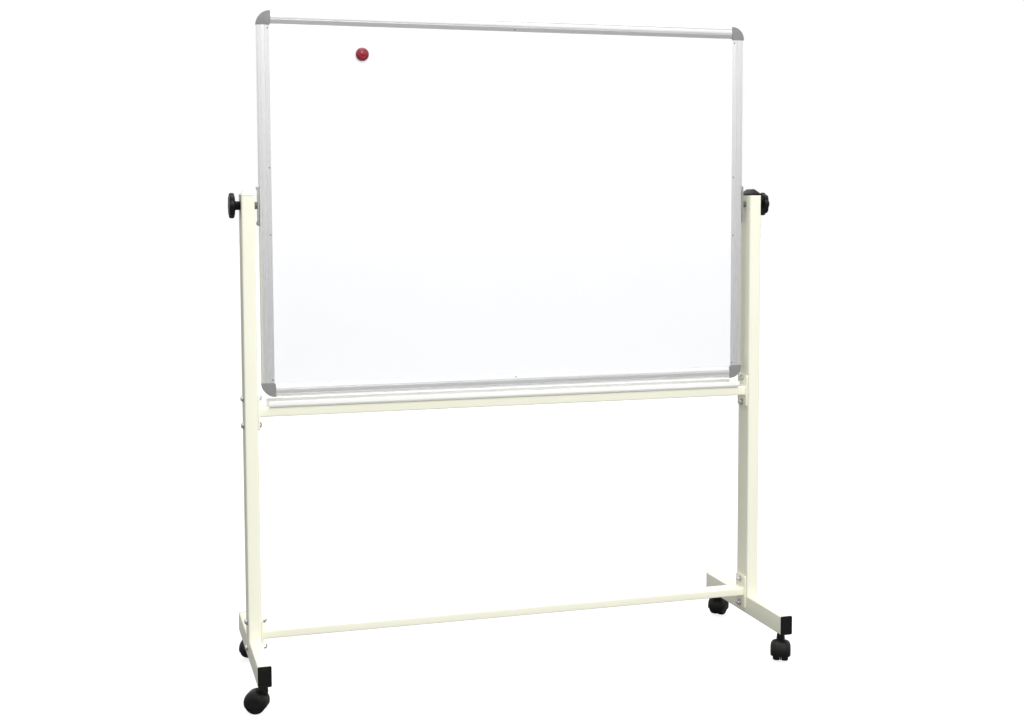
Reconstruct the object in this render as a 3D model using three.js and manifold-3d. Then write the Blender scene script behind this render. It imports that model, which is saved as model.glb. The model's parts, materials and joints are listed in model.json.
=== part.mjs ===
// Rolling whiteboard: a double-sided board that flips end over end between two uprights on castors.
// Millimetres, +Z up. Origin on the floor, under the middle of the outside box.
// +X runs along the board's width, -Y is the front, the side with the red magnet.
import * as THREE from "three";
import { mergeVertices } from "three/addons/utils/BufferGeometryUtils.js";
import Module from "manifold-3d";

// ---------------------------------------------------------------- shared dimensions
const GAP = 0.3; // assembly gap between touching pieces
const LEFT_RIGHT = [["left", -1], ["right", 1]]; // name, sign of X
const FRONT_REAR = [["front", -1], ["rear", 1]]; // name, sign of Y

const BOARD_W = 1200; // outside width of the framed board
const BOARD_H = 875; // outside height of the framed board
const BOARD_T = 20; // frame profile depth, front to back
const HALF_W = BOARD_W / 2;
const HALF_H = BOARD_H / 2;
const PIVOT_Z = 1109.5; // height of the pivot axis, which is the board's own centre

const UPRIGHT_X = 627; // centre of each upright from the middle
const UPRIGHT_W = 30; // upright tube, across
const UPRIGHT_D = 60; // upright tube, front to back
const UPRIGHT_TOP = 1131;
const TUBE_WALL = 1.5;
// where pieces bear on the upright's inner and outer sides, distances from the middle
const INNER_SEAT = UPRIGHT_X - UPRIGHT_W / 2 - GAP;
const OUTER_SEAT = UPRIGHT_X + UPRIGHT_W / 2 + GAP;

const FOOT_LEN = 430; // overall, with end caps
const FOOT_W = 30;
const FOOT_H = 46;
const FOOT_Z = 66; // underside of the foot
const FOOT_MID_Z = FOOT_Z + FOOT_H / 2;

const MID_BOLTS = [608, 670]; // bolt heights at the middle crossbar
const LOW_BOLTS = [90, 151]; // bolt heights at the lower crossbar
const BOLT_R = 4.0;
const BOLT_HOLE_R = 4.35;
const BOLT_HOLE_SEG = 12;

const STEM_IN = 30; // castor stem from the end of the foot
const CASTOR_Y = FOOT_LEN / 2 - STEM_IN;

// The rest directions of the castors make the outside box lopsided.
// This puts its middle back on the origin.
const SHIFT_X = 0.86;
const SHIFT_Y = 1.9;

// ---------------------------------------------------------------- materials
const CREAM = { color: 0xf4f4e0, roughness: 0.45, metalness: 0.0 };
const ALU = { color: 0xc9c9c8, roughness: 0.35, metalness: 0.9 };
const GREY = { color: 0x6f6e70, roughness: 0.55, metalness: 0.0 };
const BLACK = { color: 0x171814, roughness: 0.55, metalness: 0.0 };
const SHEET_WHITE = { color: 0xf6f7fa, roughness: 0.15, metalness: 0.0 };
const TRAY_WHITE = { color: 0xf7f7f2, roughness: 0.4, metalness: 0.0 };
const PLUG_WHITE = { color: 0xf1f1e6, roughness: 0.5, metalness: 0.0 };
const ZINC = { color: 0xb9bab6, roughness: 0.3, metalness: 1.0 };
const CORE_TAN = { color: 0xd8d2c0, roughness: 0.9, metalness: 0.0 };
const RED = { color: 0xb3101f, roughness: 0.25, metalness: 0.0 };

// ---------------------------------------------------------------- solids
const wasm = await Module();
wasm.setup();

// A closed three.js geometry as a solid, with its faces turned outwards.
function toSolid(geometry) {
  const bare = geometry.index ? geometry.toNonIndexed() : geometry.clone();
  for (const name of Object.keys(bare.attributes))
    if (name !== "position") bare.deleteAttribute(name);
  const merged = mergeVertices(bare, 1e-4);
  const positions = merged.attributes.position.array;
  const index = merged.index.array;
  const kept = [];
  let volume = 0;
  const corners = [vec(0, 0, 0), vec(0, 0, 0), vec(0, 0, 0)];
  for (let i = 0; i < index.length; i += 3) {
    const triangle = [index[i], index[i + 1], index[i + 2]];
    if (new Set(triangle).size < 3) continue;
    kept.push(...triangle);
    corners.forEach((corner, k) => corner.fromArray(positions, triangle[k] * 3));
    volume += corners[0].dot(corners[1].cross(corners[2]));
  }
  if (volume < 0)
    for (let i = 0; i < kept.length; i += 3)
      [kept[i + 1], kept[i + 2]] = [kept[i + 2], kept[i + 1]];
  return new wasm.Manifold(
    new wasm.Mesh({
      numProp: 3,
      vertProperties: new Float32Array(positions),
      triVerts: new Uint32Array(kept),
    }),
  );
}

// A solid back as a flat-shaded three.js geometry.
function toGeometry(made) {
  const mesh = made.getMesh();
  const indexed = new THREE.BufferGeometry();
  const positions = new Float32Array(mesh.vertProperties);
  indexed.setAttribute("position", new THREE.BufferAttribute(positions, 3));
  indexed.setIndex(new THREE.BufferAttribute(new Uint32Array(mesh.triVerts), 1));
  const flat = indexed.toNonIndexed();
  flat.computeVertexNormals();
  return flat;
}

const union = (...solids) => solids.reduce((sum, next) => sum.add(next));
const cut = (body, ...tools) => tools.reduce((left, tool) => left.subtract(tool), body);

// Bases that lay a drawing's x, y and its extrusion along world directions.
const vec = (x, y, z) => new THREE.Vector3(x, y, z);
const basis = (...axes) => new THREE.Matrix4().makeBasis(...axes);
const ALONG_X = basis(vec(0, 1, 0), vec(0, 0, 1), vec(1, 0, 0)); // x->Y, y->Z, extrude->+X
const ALONG_MINUS_Y = basis(vec(1, 0, 0), vec(0, 0, 1), vec(0, -1, 0)); // x->X, y->Z
const ALONG_Z = new THREE.Matrix4(); // x->X, y->Y
const X_AXIS = [1, 0, 0];
const Z_AXIS = [0, 0, 1];

// Outlines are lists of [x, y].
function arcPoint(centreX, centreY, radius, angle) {
  return [centreX + radius * Math.cos(angle), centreY + radius * Math.sin(angle)];
}

// Rounded rectangle centred on the origin, with the given steps in each corner.
function roundRect(width, height, radius, steps = 3) {
  const x = width / 2 - radius;
  const y = height / 2 - radius;
  const corners = [[x, y, 0], [-x, y, 90], [-x, -y, 180], [x, -y, 270]];
  const points = [];
  for (const [centreX, centreY, start] of corners)
    for (let i = 0; i <= steps; i++) {
      const angle = THREE.MathUtils.degToRad(start + (90 * i) / steps);
      points.push(arcPoint(centreX, centreY, radius, angle));
    }
  return points;
}

// Inside of a tube of the given outside size, or, with some play, a plug that fits it.
const boreOutline = (width, height, radius, play = 0) =>
  roundRect(width - 2 * TUBE_WALL - play, height - 2 * TUBE_WALL - play, radius, 2);

const circle = (radius, count, centreY = 0, phase = 0) =>
  Array.from({ length: count }, (_, i) =>
    arcPoint(0, centreY, radius, phase + (2 * Math.PI * i) / count));

// Extrusion of an outline along a basis, from a start point. The length includes any bevels.
const NO_BEVEL = { thickness: 0, size: 0, segments: 0 };
function prism(outline, direction, at, length, { holes = [], bevel = NO_BEVEL } = {}) {
  const vectors = (points) => points.map(([x, y]) => new THREE.Vector2(x, y));
  const shape = new THREE.Shape(vectors(outline));
  for (const hole of holes) shape.holes.push(new THREE.Path(vectors(hole)));
  const extruded = new THREE.ExtrudeGeometry(shape, {
    depth: length - 2 * bevel.thickness,
    steps: 1,
    bevelEnabled: bevel.segments > 0,
    bevelThickness: bevel.thickness,
    bevelSize: bevel.size,
    bevelOffset: -bevel.size,
    bevelSegments: bevel.segments,
  });
  extruded.translate(0, 0, bevel.thickness);
  extruded.applyMatrix4(direction);
  extruded.translate(...at);
  return toSolid(extruded);
}

// Extrusion along X on the left or right, starting at a distance out from the middle.
const sidePrism = (outline, sign, from, z, length, options) =>
  prism(outline, ALONG_X, [sign > 0 ? from : -from - length, 0, z], length, options);

// Solid of revolution. profile: [radius, distance along axis]; at: where distance 0 is.
function revolve(profile, segments, axis, at, phase = 0) {
  const points = profile.map(([radius, along]) => new THREE.Vector2(radius, along));
  const turned = new THREE.LatheGeometry(points, segments, phase);
  turned.applyQuaternion(new THREE.Quaternion().setFromUnitVectors(vec(0, 1, 0), vec(...axis)));
  turned.translate(...at);
  return toSolid(turned);
}

const rod = (radius, axis, at, length, segments) =>
  revolve([[0, 0], [radius, 0], [radius, length], [0, length]], segments, axis, at);

// Box between two values on each axis, in either order.
function box([x0, x1], [y0, y1], [z0, z1]) {
  const block = new THREE.BoxGeometry(Math.abs(x1 - x0), Math.abs(y1 - y0), Math.abs(z1 - z0));
  block.translate((x0 + x1) / 2, (y0 + y1) / 2, (z0 + z1) / 2);
  return toSolid(block);
}

function add(group, name, made, look) {
  const mesh = new THREE.Mesh(toGeometry(made), new THREE.MeshStandardMaterial(look));
  mesh.name = name;
  group.add(mesh);
}

const whiteboard = new THREE.Group();
whiteboard.position.set(SHIFT_X, SHIFT_Y, 0);

// ---------------------------------------------------------------- board
// All drawn about the board's centre, then lifted to the pivot.
const board = new THREE.Group();
board.position.z = PIVOT_Z;
whiteboard.add(board);

// Panel: a core with a thin writing sheet on each face. Y values are distances from mid-thickness.
const CORE_HALF = 5.6; // half thickness of the core
const SHEET_IN = 5.9; // sheet, inner face of its edge band
const SHEET_OUT = 6.3; // sheet, outer face of its edge band under the lip
const SHEET_FACE = 6.8; // sheet, the face that is written on
const PANEL_EDGE = 16.5; // panel edge, measured in from the board's outer edge
const FACE_EDGE = 29.0; // written area's edge, measured in from the board's outer edge
const SHEET_T = SHEET_OUT - SHEET_IN;
const JOGGLE_WALL = 0.6; // sheet left around the hollow in its back

function slab(edge, y0, y1) {
  const x = HALF_W - edge;
  const z = HALF_H - edge;
  return box([-x, x], [y0, y1], [-z, z]);
}

function writingSheet(sign) {
  const band = slab(PANEL_EDGE, sign * SHEET_IN, sign * SHEET_OUT);
  const face = slab(FACE_EDGE, sign * SHEET_IN, sign * SHEET_FACE);
  // the thin sheet is joggled outwards past the lip, so its back is hollow by the same step
  const edge = FACE_EDGE + JOGGLE_WALL;
  const hollow = slab(edge, sign * (SHEET_IN - 1), sign * (SHEET_FACE - SHEET_T));
  return cut(union(band, face), hollow);
}

add(board, "panel_core", slab(PANEL_EDGE, -CORE_HALF, CORE_HALF), CORE_TAN);
for (const [end, sign] of FRONT_REAR)
  add(board, `writing_sheet_${end}`, writingSheet(sign), SHEET_WHITE);

// Frame profile section: [distance in from the outer edge, distance from mid-thickness].
// A rounded outer edge, two shallow grooves, a slope down to the lip, and a slot for the panel.
const PROFILE_FACE = 28.5; // face width of the profile
const SLOT_START = 16; // the slot starts this far from the outer edge
const SLOT_HALF = 6.6; // half the slot's opening
const FACE = BOARD_T / 2;
const GROOVE = FACE - 0.8; // floor of the grooves
const PROFILE_HALF = [
  [0, 6], [0.6, 8.2], [1.8, 9.4], [4, FACE],
  [6.8, FACE], [6.8, GROOVE], [8.0, GROOVE], [8.0, FACE],
  [12.6, FACE], [12.6, GROOVE], [13.8, GROOVE], [13.8, FACE],
  [19.2, FACE], [21.5, 9.2], [26.6, 7.7], [PROFILE_FACE, 7.6],
  [PROFILE_FACE, SLOT_HALF], [SLOT_START, SLOT_HALF],
];
const PROFILE = [...PROFILE_HALF, ...PROFILE_HALF.map(([inset, y]) => [inset, -y]).reverse()];
const CHAMBER = { from: 2, to: 14, half: 8 }; // profile's hollow, same two measures
const CHAMBER_OUTLINE = [
  [CHAMBER.from, -CHAMBER.half], [CHAMBER.to, -CHAMBER.half],
  [CHAMBER.to, CHAMBER.half], [CHAMBER.from, CHAMBER.half],
];
const CAP_ARM = 31.5; // corner cap length along each side
const PLATE_SCREW = 40; // pivot plate screws, above and below the pivot
const FRAME_HOLE = { radius: 2.3, from: HALF_W - 6, length: 10, segments: 10 };

function sideProfile(sign) {
  const place = ([inset, y]) => [sign * (HALF_W - inset), y];
  const half = HALF_H - CAP_ARM - GAP;
  const holes = [CHAMBER_OUTLINE.map(place)];
  const bar = prism(PROFILE.map(place), ALONG_Z, [0, 0, -half], 2 * half, { holes });
  const { radius, from, length, segments } = FRAME_HOLE;
  const screwHoles = [-PLATE_SCREW, PLATE_SCREW].map((z) =>
    rod(radius, [sign, 0, 0], [sign * from, 0, z], length, segments));
  return cut(bar, ...screwHoles);
}

function levelProfile(sign) {
  const place = ([inset, y]) => [y, sign * (HALF_H - inset)];
  const half = HALF_W - CAP_ARM - GAP;
  const holes = [CHAMBER_OUTLINE.map(place)];
  return prism(PROFILE.map(place), ALONG_X, [-half, 0, 0], 2 * half, { holes });
}

const TOP_BOTTOM = [["top", 1], ["bottom", -1]]; // name, sign of Z
for (const [side, sign] of LEFT_RIGHT)
  add(board, `frame_profile_${side}`, sideProfile(sign), ALU);
for (const [level, sign] of TOP_BOTTOM)
  add(board, `frame_profile_${level}`, levelProfile(sign), ALU);

// Corner cap: a quarter-round L that closes the profile ends, with a tongue into each hollow.
const CAP_R = 30; // outer radius
const CAP_ARC_STEPS = 8;
const CAP_T = BOARD_T + 1.0;
const CAP_BEVEL = { thickness: 1.2, size: 0.9, segments: 2 };
const CAP_SLOT_PLAY = 0.2;
const CAP_SLOT_REACH = 60; // the panel cut runs past the cap's inside
const TONGUE_PLAY = 0.4;
const TONGUE = [CAP_ARM - 3, CAP_ARM + 16]; // from and to, along the profile

function cornerCap(signX, signZ) {
  const points = [[CAP_ARM, 0]]; // [in from the side edge, in from the top or bottom edge]
  for (let i = 0; i <= CAP_ARC_STEPS; i++) {
    const angle = (Math.PI / 2) * (i / CAP_ARC_STEPS);
    points.push([CAP_R - CAP_R * Math.sin(angle), CAP_R - CAP_R * Math.cos(angle)]);
  }
  points.push([0, CAP_ARM], [PROFILE_FACE, CAP_ARM]);
  points.push([PROFILE_FACE, PROFILE_FACE], [CAP_ARM, PROFILE_FACE]);

  const placeX = (inset) => signX * (HALF_W - inset);
  const placeZ = (inset) => signZ * (HALF_H - inset);
  const outline = points.map(([insetX, insetZ]) => [placeX(insetX), placeZ(insetZ)]);
  const block = (insetsX, insetsZ, half) =>
    box(insetsX.map(placeX), [-half, half], insetsZ.map(placeZ));

  const body = prism(outline, ALONG_MINUS_Y, [0, CAP_T / 2, 0], CAP_T, { bevel: CAP_BEVEL });
  const slot = [SLOT_START + CAP_SLOT_PLAY, CAP_SLOT_REACH];
  const tongueWidth = [CHAMBER.from + TONGUE_PLAY, CHAMBER.to - TONGUE_PLAY];
  const tongueHalf = CHAMBER.half - TONGUE_PLAY;
  return union(
    cut(body, block(slot, slot, SLOT_HALF)),
    block(TONGUE, tongueWidth, tongueHalf),
    block(tongueWidth, TONGUE, tongueHalf),
  );
}

for (const [level, signZ] of TOP_BOTTOM)
  for (const [side, signX] of LEFT_RIGHT)
    add(board, `corner_cap_${level}_${side}`, cornerCap(signX, signZ), GREY);

// Pivot: on each side a plate with a welded stud, two screws into the frame, and a spacer bush.
// X values are distances out from the middle; profiles are [radius, distance outwards].
const PLATE_T = 3;
const PLATE_D = 18;
const PLATE_H = 92;
const PLATE_CORNER_R = 4;
const PLATE_HOLE = { radius: 2.5, segments: 10 };
const PLATE_X = HALF_W + GAP; // plate's inner face
const PLATE_SEAT = PLATE_X + PLATE_T + GAP; // where pieces bear on its outer face
const STUD_R = 4.9;
const STUD_PROFILE = [[0, 0], [STUD_R, 0], [STUD_R, 52], [STUD_R - 1.2, 53.6], [0, 53.6]];
const SCREW_SHANK = 11.6;
const SCREW_PROFILE = [
  [0, 0], [2.1, 0], [2.1, SCREW_SHANK], [4.3, SCREW_SHANK], [4.3, 12.6], [3.0, 14.0], [0, 14.3],
];
const SPACER_LEN = INNER_SEAT - PLATE_SEAT;
const SPACER_PROFILE = [
  [5.4, 0], [8.2, 0], [8.2, SPACER_LEN - 1.2], [7.2, SPACER_LEN], [5.4, SPACER_LEN], [5.4, 0],
];

function pivotPlate(sign) {
  const { radius, segments } = PLATE_HOLE;
  const holes = [-PLATE_SCREW, PLATE_SCREW].map((z) => circle(radius, segments, z));
  const outline = roundRect(PLATE_D, PLATE_H, PLATE_CORNER_R);
  const plate = sidePrism(outline, sign, PLATE_X, 0, PLATE_T, { holes });
  const stud = revolve(STUD_PROFILE, 16, [sign, 0, 0], [sign * (PLATE_X + 1), 0, 0]);
  return union(plate, stud);
}

const pivotScrew = (sign, z) =>
  revolve(SCREW_PROFILE, 10, [sign, 0, 0], [sign * (PLATE_SEAT - SCREW_SHANK), 0, z]);

const pivotSpacer = (sign) =>
  revolve(SPACER_PROFILE, 14, [sign, 0, 0], [sign * PLATE_SEAT, 0, 0]);

for (const [side, sign] of LEFT_RIGHT) {
  add(board, `pivot_plate_${side}`, pivotPlate(sign), ZINC);
  add(board, `pivot_screw_${side}_lower`, pivotScrew(sign, -PLATE_SCREW), ZINC);
  add(board, `pivot_screw_${side}_upper`, pivotScrew(sign, PLATE_SCREW), ZINC);
  add(board, `pivot_spacer_${side}`, pivotSpacer(sign), BLACK);
}

// Clamping knob: eight soft lobes, a hub against the upright, and a blind hole for the stud.
const KNOB_R = 27.4; // mean radius of the lobed disc
const KNOB_T = 12.7; // thickness of the lobed disc
const KNOB_LOBES = 8;
const LOBE_RISE = 1.3;
const KNOB_POINTS = 32;
const KNOB_BEVEL = { thickness: 3, size: 3, segments: 1 };
const DISC_X = OUTER_SEAT + 12;
const HUB_PROFILE = [[0, 0], [10.6, 0], [10.6, 10], [13, 13], [13, 14], [0, 14]];
const CROWN_PROFILE = [[0, 0], [16, 0], [14.8, 0.9], [8, 1.4], [0, 1.5]];
const CROWN_SINK = 0.4;
const KNOB_HOLE = { radius: 5.2, from: OUTER_SEAT - 1, length: 17, segments: 16 };

function clampKnob(sign) {
  const lobes = Array.from({ length: KNOB_POINTS }, (_, i) => {
    const angle = (2 * Math.PI * i) / KNOB_POINTS;
    return arcPoint(0, 0, KNOB_R + LOBE_RISE * Math.cos(KNOB_LOBES * angle), angle);
  });
  const out = [sign, 0, 0];
  const crownX = DISC_X + KNOB_T - CROWN_SINK;
  const disc = sidePrism(lobes, sign, DISC_X, 0, KNOB_T, { bevel: KNOB_BEVEL });
  const hub = revolve(HUB_PROFILE, 14, out, [sign * OUTER_SEAT, 0, 0]);
  const crown = revolve(CROWN_PROFILE, 14, out, [sign * crownX, 0, 0]);
  const { radius, from, length, segments } = KNOB_HOLE;
  return cut(union(disc, hub, crown), rod(radius, out, [sign * from, 0, 0], length, segments));
}

for (const [side, sign] of LEFT_RIGHT) add(board, `clamp_knob_${side}`, clampKnob(sign), BLACK);

// Round magnet on the front face: [radius, distance forwards].
const MAGNET_PROFILE = [[0, 0], [14.7, 0], [15.3, 2.6], [13.9, 6.2], [9.2, 8.4], [0, 9.2]];
const MAGNET_AT = [-360, -SHEET_FACE - GAP, 345.5];
add(board, "magnet_red", revolve(MAGNET_PROFILE, 20, [0, -1, 0], MAGNET_AT), RED);

// ---------------------------------------------------------------- stand
const stand = new THREE.Group();
whiteboard.add(stand);

// Hole straight through a tube from side to side.
const HOLE_REACH = 20; // each way from the tube's centre
const crossHole = (radius, centreX, z, segments) =>
  rod(radius, X_AXIS, [centreX - HOLE_REACH, 0, z], 2 * HOLE_REACH, segments);

// Upright tube, with its bolt holes and the pivot hole.
const STUD_HOLE_R = 5.4;
const UPRIGHT_BASE = FOOT_Z + FOOT_H + GAP;

function upright(centreX) {
  const outline = roundRect(UPRIGHT_W, UPRIGHT_D, 4);
  const holes = [boreOutline(UPRIGHT_W, UPRIGHT_D, 2.5)];
  const length = UPRIGHT_TOP - UPRIGHT_BASE;
  const tube = prism(outline, ALONG_Z, [centreX, 0, UPRIGHT_BASE], length, { holes });
  const boltHoles = [LOW_BOLTS[1], ...MID_BOLTS].map((z) =>
    crossHole(BOLT_HOLE_R, centreX, z, BOLT_HOLE_SEG));
  return cut(tube, ...boltHoles, crossHole(STUD_HOLE_R, centreX, PIVOT_Z, 16));
}

// Plug in the top of the upright: a rim, a hipped dome and a spigot inside the tube.
const PLUG_PLAY = 0.8; // total play of a plug in its tube
const RIM_OVER = 0.6; // rim is this much larger than the tube
const RIM_T = 2.4;
const DOME_UNDER = 1; // dome is this much smaller than the tube
const DOME_Z = UPRIGHT_TOP + GAP + 1.8; // height 0 of the arch table
const SPIGOT = { drop: 13, length: 14 };
// dome's arched edge: [distance in from the dome's side, height]
const ARCH = [
  [0, -4], [0, 0.7], [1.3, 3.0], [4.2, 6.6], [8.2, 10.6], [11.4, 12.9], [13.7, 13.8],
];

function archOutline(width) {
  const edge = ARCH.map(([inset, z]) => [width / 2 - inset, z]);
  return [...edge, ...edge.map(([x, z]) => [-x, z]).reverse()];
}

function uprightPlug(centreX) {
  const rimOutline = roundRect(UPRIGHT_W + RIM_OVER, UPRIGHT_D + RIM_OVER, 4.2);
  const rim = prism(rimOutline, ALONG_Z, [centreX, 0, UPRIGHT_TOP + GAP], RIM_T);
  // the dome's plan outline is met by one arched section each way
  const width = UPRIGHT_W - DOME_UNDER;
  const depth = UPRIGHT_D - DOME_UNDER;
  const dome = prism(roundRect(width, depth, 4), ALONG_Z, [centreX, 0, DOME_Z - 0.8], 20)
    .intersect(prism(archOutline(depth), ALONG_X, [centreX - 40, 0, DOME_Z], 80))
    .intersect(prism(archOutline(width), ALONG_MINUS_Y, [centreX, 50, DOME_Z], 100));
  const spigotOutline = boreOutline(UPRIGHT_W, UPRIGHT_D, 2.6, PLUG_PLAY);
  const spigotAt = [centreX, 0, UPRIGHT_TOP - SPIGOT.drop];
  return union(rim, dome, prism(spigotOutline, ALONG_Z, spigotAt, SPIGOT.length));
}

// Foot tube, with the castor sockets in its underside and the lower bolt's hole.
const FOOT_CAP_T = 3;
const SOCKET = { radius: 5.5, drop: 3, length: 8, segments: 12 };

function foot(centreX) {
  const half = FOOT_LEN / 2 - FOOT_CAP_T - GAP;
  const outline = roundRect(FOOT_W, FOOT_H, 3);
  const holes = [boreOutline(FOOT_W, FOOT_H, 1.8)];
  const tube = prism(outline, ALONG_MINUS_Y, [centreX, half, FOOT_MID_Z], 2 * half, { holes });
  const { radius, drop, length, segments } = SOCKET;
  const sockets = [-CASTOR_Y, CASTOR_Y].map((y) =>
    rod(radius, Z_AXIS, [centreX, y, FOOT_Z - drop], length, segments));
  return cut(tube, crossHole(BOLT_HOLE_R, centreX, LOW_BOLTS[0], BOLT_HOLE_SEG), ...sockets);
}

// End cap of the foot: a rounded flange with a recessed centre, and a plug inside the tube.
const FOOT_CAP_BEVEL = { thickness: 0.8, size: 0.8, segments: 1 };
const FOOT_PLUG_TO = 16; // plug's inner end, in from the end of the foot
const RECESS_EDGE = 9; // recess is this much smaller than the flange
const RECESS_DEPTH = 0.9;

function footCap(centreX, end) {
  // from and to are distances in from the end of the foot
  const layer = (outline, from, to, options) => {
    const y = end < 0 ? -FOOT_LEN / 2 + to : FOOT_LEN / 2 - from;
    return prism(outline, ALONG_MINUS_Y, [centreX, y, FOOT_MID_Z], to - from, options);
  };
  const flangeOutline = roundRect(FOOT_W, FOOT_H, 3);
  const plugOutline = boreOutline(FOOT_W, FOOT_H, 2, PLUG_PLAY);
  const recessOutline = roundRect(FOOT_W - RECESS_EDGE, FOOT_H - RECESS_EDGE, 2, 2);
  const flange = layer(flangeOutline, 0, FOOT_CAP_T, { bevel: FOOT_CAP_BEVEL });
  const plug = layer(plugOutline, FOOT_CAP_T - 1, FOOT_PLUG_TO);
  return cut(union(flange, plug), layer(recessOutline, -1, RECESS_DEPTH));
}

for (const [side, sign] of LEFT_RIGHT) {
  const centreX = sign * UPRIGHT_X;
  add(stand, `upright_${side}`, upright(centreX), CREAM);
  add(stand, `upright_plug_${side}`, uprightPlug(centreX), sign > 0 ? BLACK : PLUG_WHITE);
  add(stand, `foot_${side}`, foot(centreX), CREAM);
  for (const [endName, end] of FRONT_REAR)
    add(stand, `foot_cap_${endName}_${side}`, footCap(centreX, end), BLACK);
}

// Crossbar: a tube with a flange plate welded on each end.
// flange: heights it runs between; bolts: heights of its holes
const MIDDLE_BAR = { z: 639, height: 22, depth: 40, flange: [599, 679], bolts: MID_BOLTS };
const LOWER_BAR = { z: 122, height: 20, depth: 40, flange: [79, 162], bolts: LOW_BOLTS };
const FLANGE_T = 3.7;
const FLANGE_D = 50;
const WELD_LAP = 0.5; // tube runs this far into the flange
const DRAIN = { x: 540, radius: 3, drop: 2, length: 5, segments: 10 };

function crossbar({ z, height, depth, flange, bolts }) {
  const half = INNER_SEAT - FLANGE_T + WELD_LAP;
  const outline = roundRect(depth, height, 3);
  const bore = boreOutline(depth, height, 1.6);
  const tube = prism(outline, ALONG_X, [-half, 0, z], 2 * half, { holes: [bore] });

  const [bottom, top] = flange;
  const middle = (bottom + top) / 2;
  const plateOutline = roundRect(FLANGE_D, top - bottom, 5);
  const holes = bolts.map((boltZ) => circle(BOLT_HOLE_R, BOLT_HOLE_SEG, boltZ - middle));
  const plates = [-1, 1].map((sign) =>
    sidePrism(plateOutline, sign, INNER_SEAT - FLANGE_T, middle, FLANGE_T, { holes }));

  // the welded ends are shut by the plates, so small holes underneath drain the tube
  const drainZ = z - height / 2 - DRAIN.drop;
  const drains = [-DRAIN.x, DRAIN.x].map((x) =>
    rod(DRAIN.radius, Z_AXIS, [x, 0, drainZ], DRAIN.length, DRAIN.segments));
  return cut(union(tube, ...plates), ...drains);
}

add(stand, "crossbar_middle", crossbar(MIDDLE_BAR), CREAM);
add(stand, "crossbar_lower", crossbar(LOWER_BAR), CREAM);

// Through bolt: domed flange head outside, washer and domed nut inside.
// Profiles are [radius, distance from the seat].
const HEAD_PROFILE = [[0, 0], [8.4, 0], [8.4, 1.2], [6.8, 1.6], [5.2, 5.0], [0, 6.4]];
const WASHER_PROFILE = [[0, 0], [8.2, 0], [8.2, 1.3], [0, 1.3]];
const SHANK_LAP = 0.6; // shank runs this far into the head
const NUT_SEAT = INNER_SEAT - FLANGE_T - GAP;
const HEX_R = 7.3; // across the corners, halved
const HEX_SHARE = 0.55; // of the nut's length
const DOME_R = 5.6;
// name, height, nut length
const BOLTS = [
  ["middle_upper", MID_BOLTS[1], 7.0],
  ["middle_lower", MID_BOLTS[0], 7.0],
  ["lower_upper", LOW_BOLTS[1], 10.5],
  ["lower_lower", LOW_BOLTS[0], 10.5],
];

function bolt(sign, z, nutLen) {
  const inwards = [-sign, 0, 0];
  const nutAt = [sign * NUT_SEAT, 0, z];
  const shankX = OUTER_SEAT + SHANK_LAP;
  const hexLen = nutLen * HEX_SHARE;
  const domeProfile = [
    [0, 0], [DOME_R, 0], [DOME_R, nutLen * 0.62], [DOME_R * 0.7, nutLen * 0.92], [0, nutLen],
  ];
  return union(
    revolve(HEAD_PROFILE, 12, [sign, 0, 0], [sign * OUTER_SEAT, 0, z]),
    rod(BOLT_R, inwards, [sign * shankX, 0, z], shankX - NUT_SEAT + 1, 8),
    revolve(WASHER_PROFILE, 12, inwards, nutAt),
    sidePrism(circle(HEX_R, 6, 0, Math.PI / 6), sign, NUT_SEAT - hexLen, z, hexLen),
    revolve(domeProfile, 8, inwards, nutAt),
  );
}

for (const [side, sign] of LEFT_RIGHT)
  for (const [name, z, nutLen] of BOLTS)
    add(stand, `bolt_${name}_${side}`, bolt(sign, z, nutLen), ZINC);

// Pen tray: folded sheet channel on the middle crossbar, its front and rear lips turned inwards.
const TRAY_HALF = 587; // half length
const TRAY_D = 60;
const TRAY_T = 1.2;
const TRAY_TOP = 664;
const TRAY_LIP = 2.2; // lip's reach in from the wall

function penTray() {
  const base = MIDDLE_BAR.z + MIDDLE_BAR.height / 2 + GAP;
  const outer = TRAY_D / 2;
  const inner = outer - TRAY_T;
  const lip = inner - TRAY_LIP;
  // rear half of the section, from under the tray round the lip to its floor: [y, z]
  const rear = [
    [outer - 2, base], [outer - 0.6, base + 0.6], [outer, base + 2],
    [outer, TRAY_TOP - 0.5], [outer - 0.5, TRAY_TOP], [lip, TRAY_TOP],
    [lip, TRAY_TOP - TRAY_T], [inner, TRAY_TOP - TRAY_T],
    [inner, base + 2.4], [inner - 1.2, base + TRAY_T],
  ];
  const front = rear.map(([y, z]) => [-y, z]).reverse();
  return prism([...rear, ...front], ALONG_X, [-TRAY_HALF, 0, 0], 2 * TRAY_HALF);
}

add(stand, "pen_tray", penTray(), TRAY_WHITE);

// ---------------------------------------------------------------- castors
// Swivelling parts are drawn with the wheels trailing along +X and the axle along Y.
const TRAIL = 16; // wheel axle behind the stem
const WHEEL_R = 24;
const WHEEL_SEG = 20;
const AXLE_Z = WHEEL_R * Math.cos(Math.PI / WHEEL_SEG); // a flat of the tread lies on the floor
const AXLE_R = 4.1;
const WHEEL_Y = 2.2; // wheel's inner face from the middle
const HOOD_R = 26.5;
const HOOD_LIFT = 1.4; // hood's round is this much above the axle
const HOOD_HALF = 24.5; // half width of the hood
const HOOD_BOTTOM = 15;
const CAVITY_HALF = 18.9;
const CAVITY_R = 24.8;
const STEM_HOLE = { radius: 5.4, z: 47.2, length: 20, segments: 12 };

// name, side, end, direction its wheels trail in (degrees from +X)
const CASTORS = [
  ["front_left", -1, -1, 155],
  ["rear_left", -1, 1, 41],
  ["front_right", 1, -1, -118],
  ["rear_right", 1, 1, 41],
];

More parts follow.
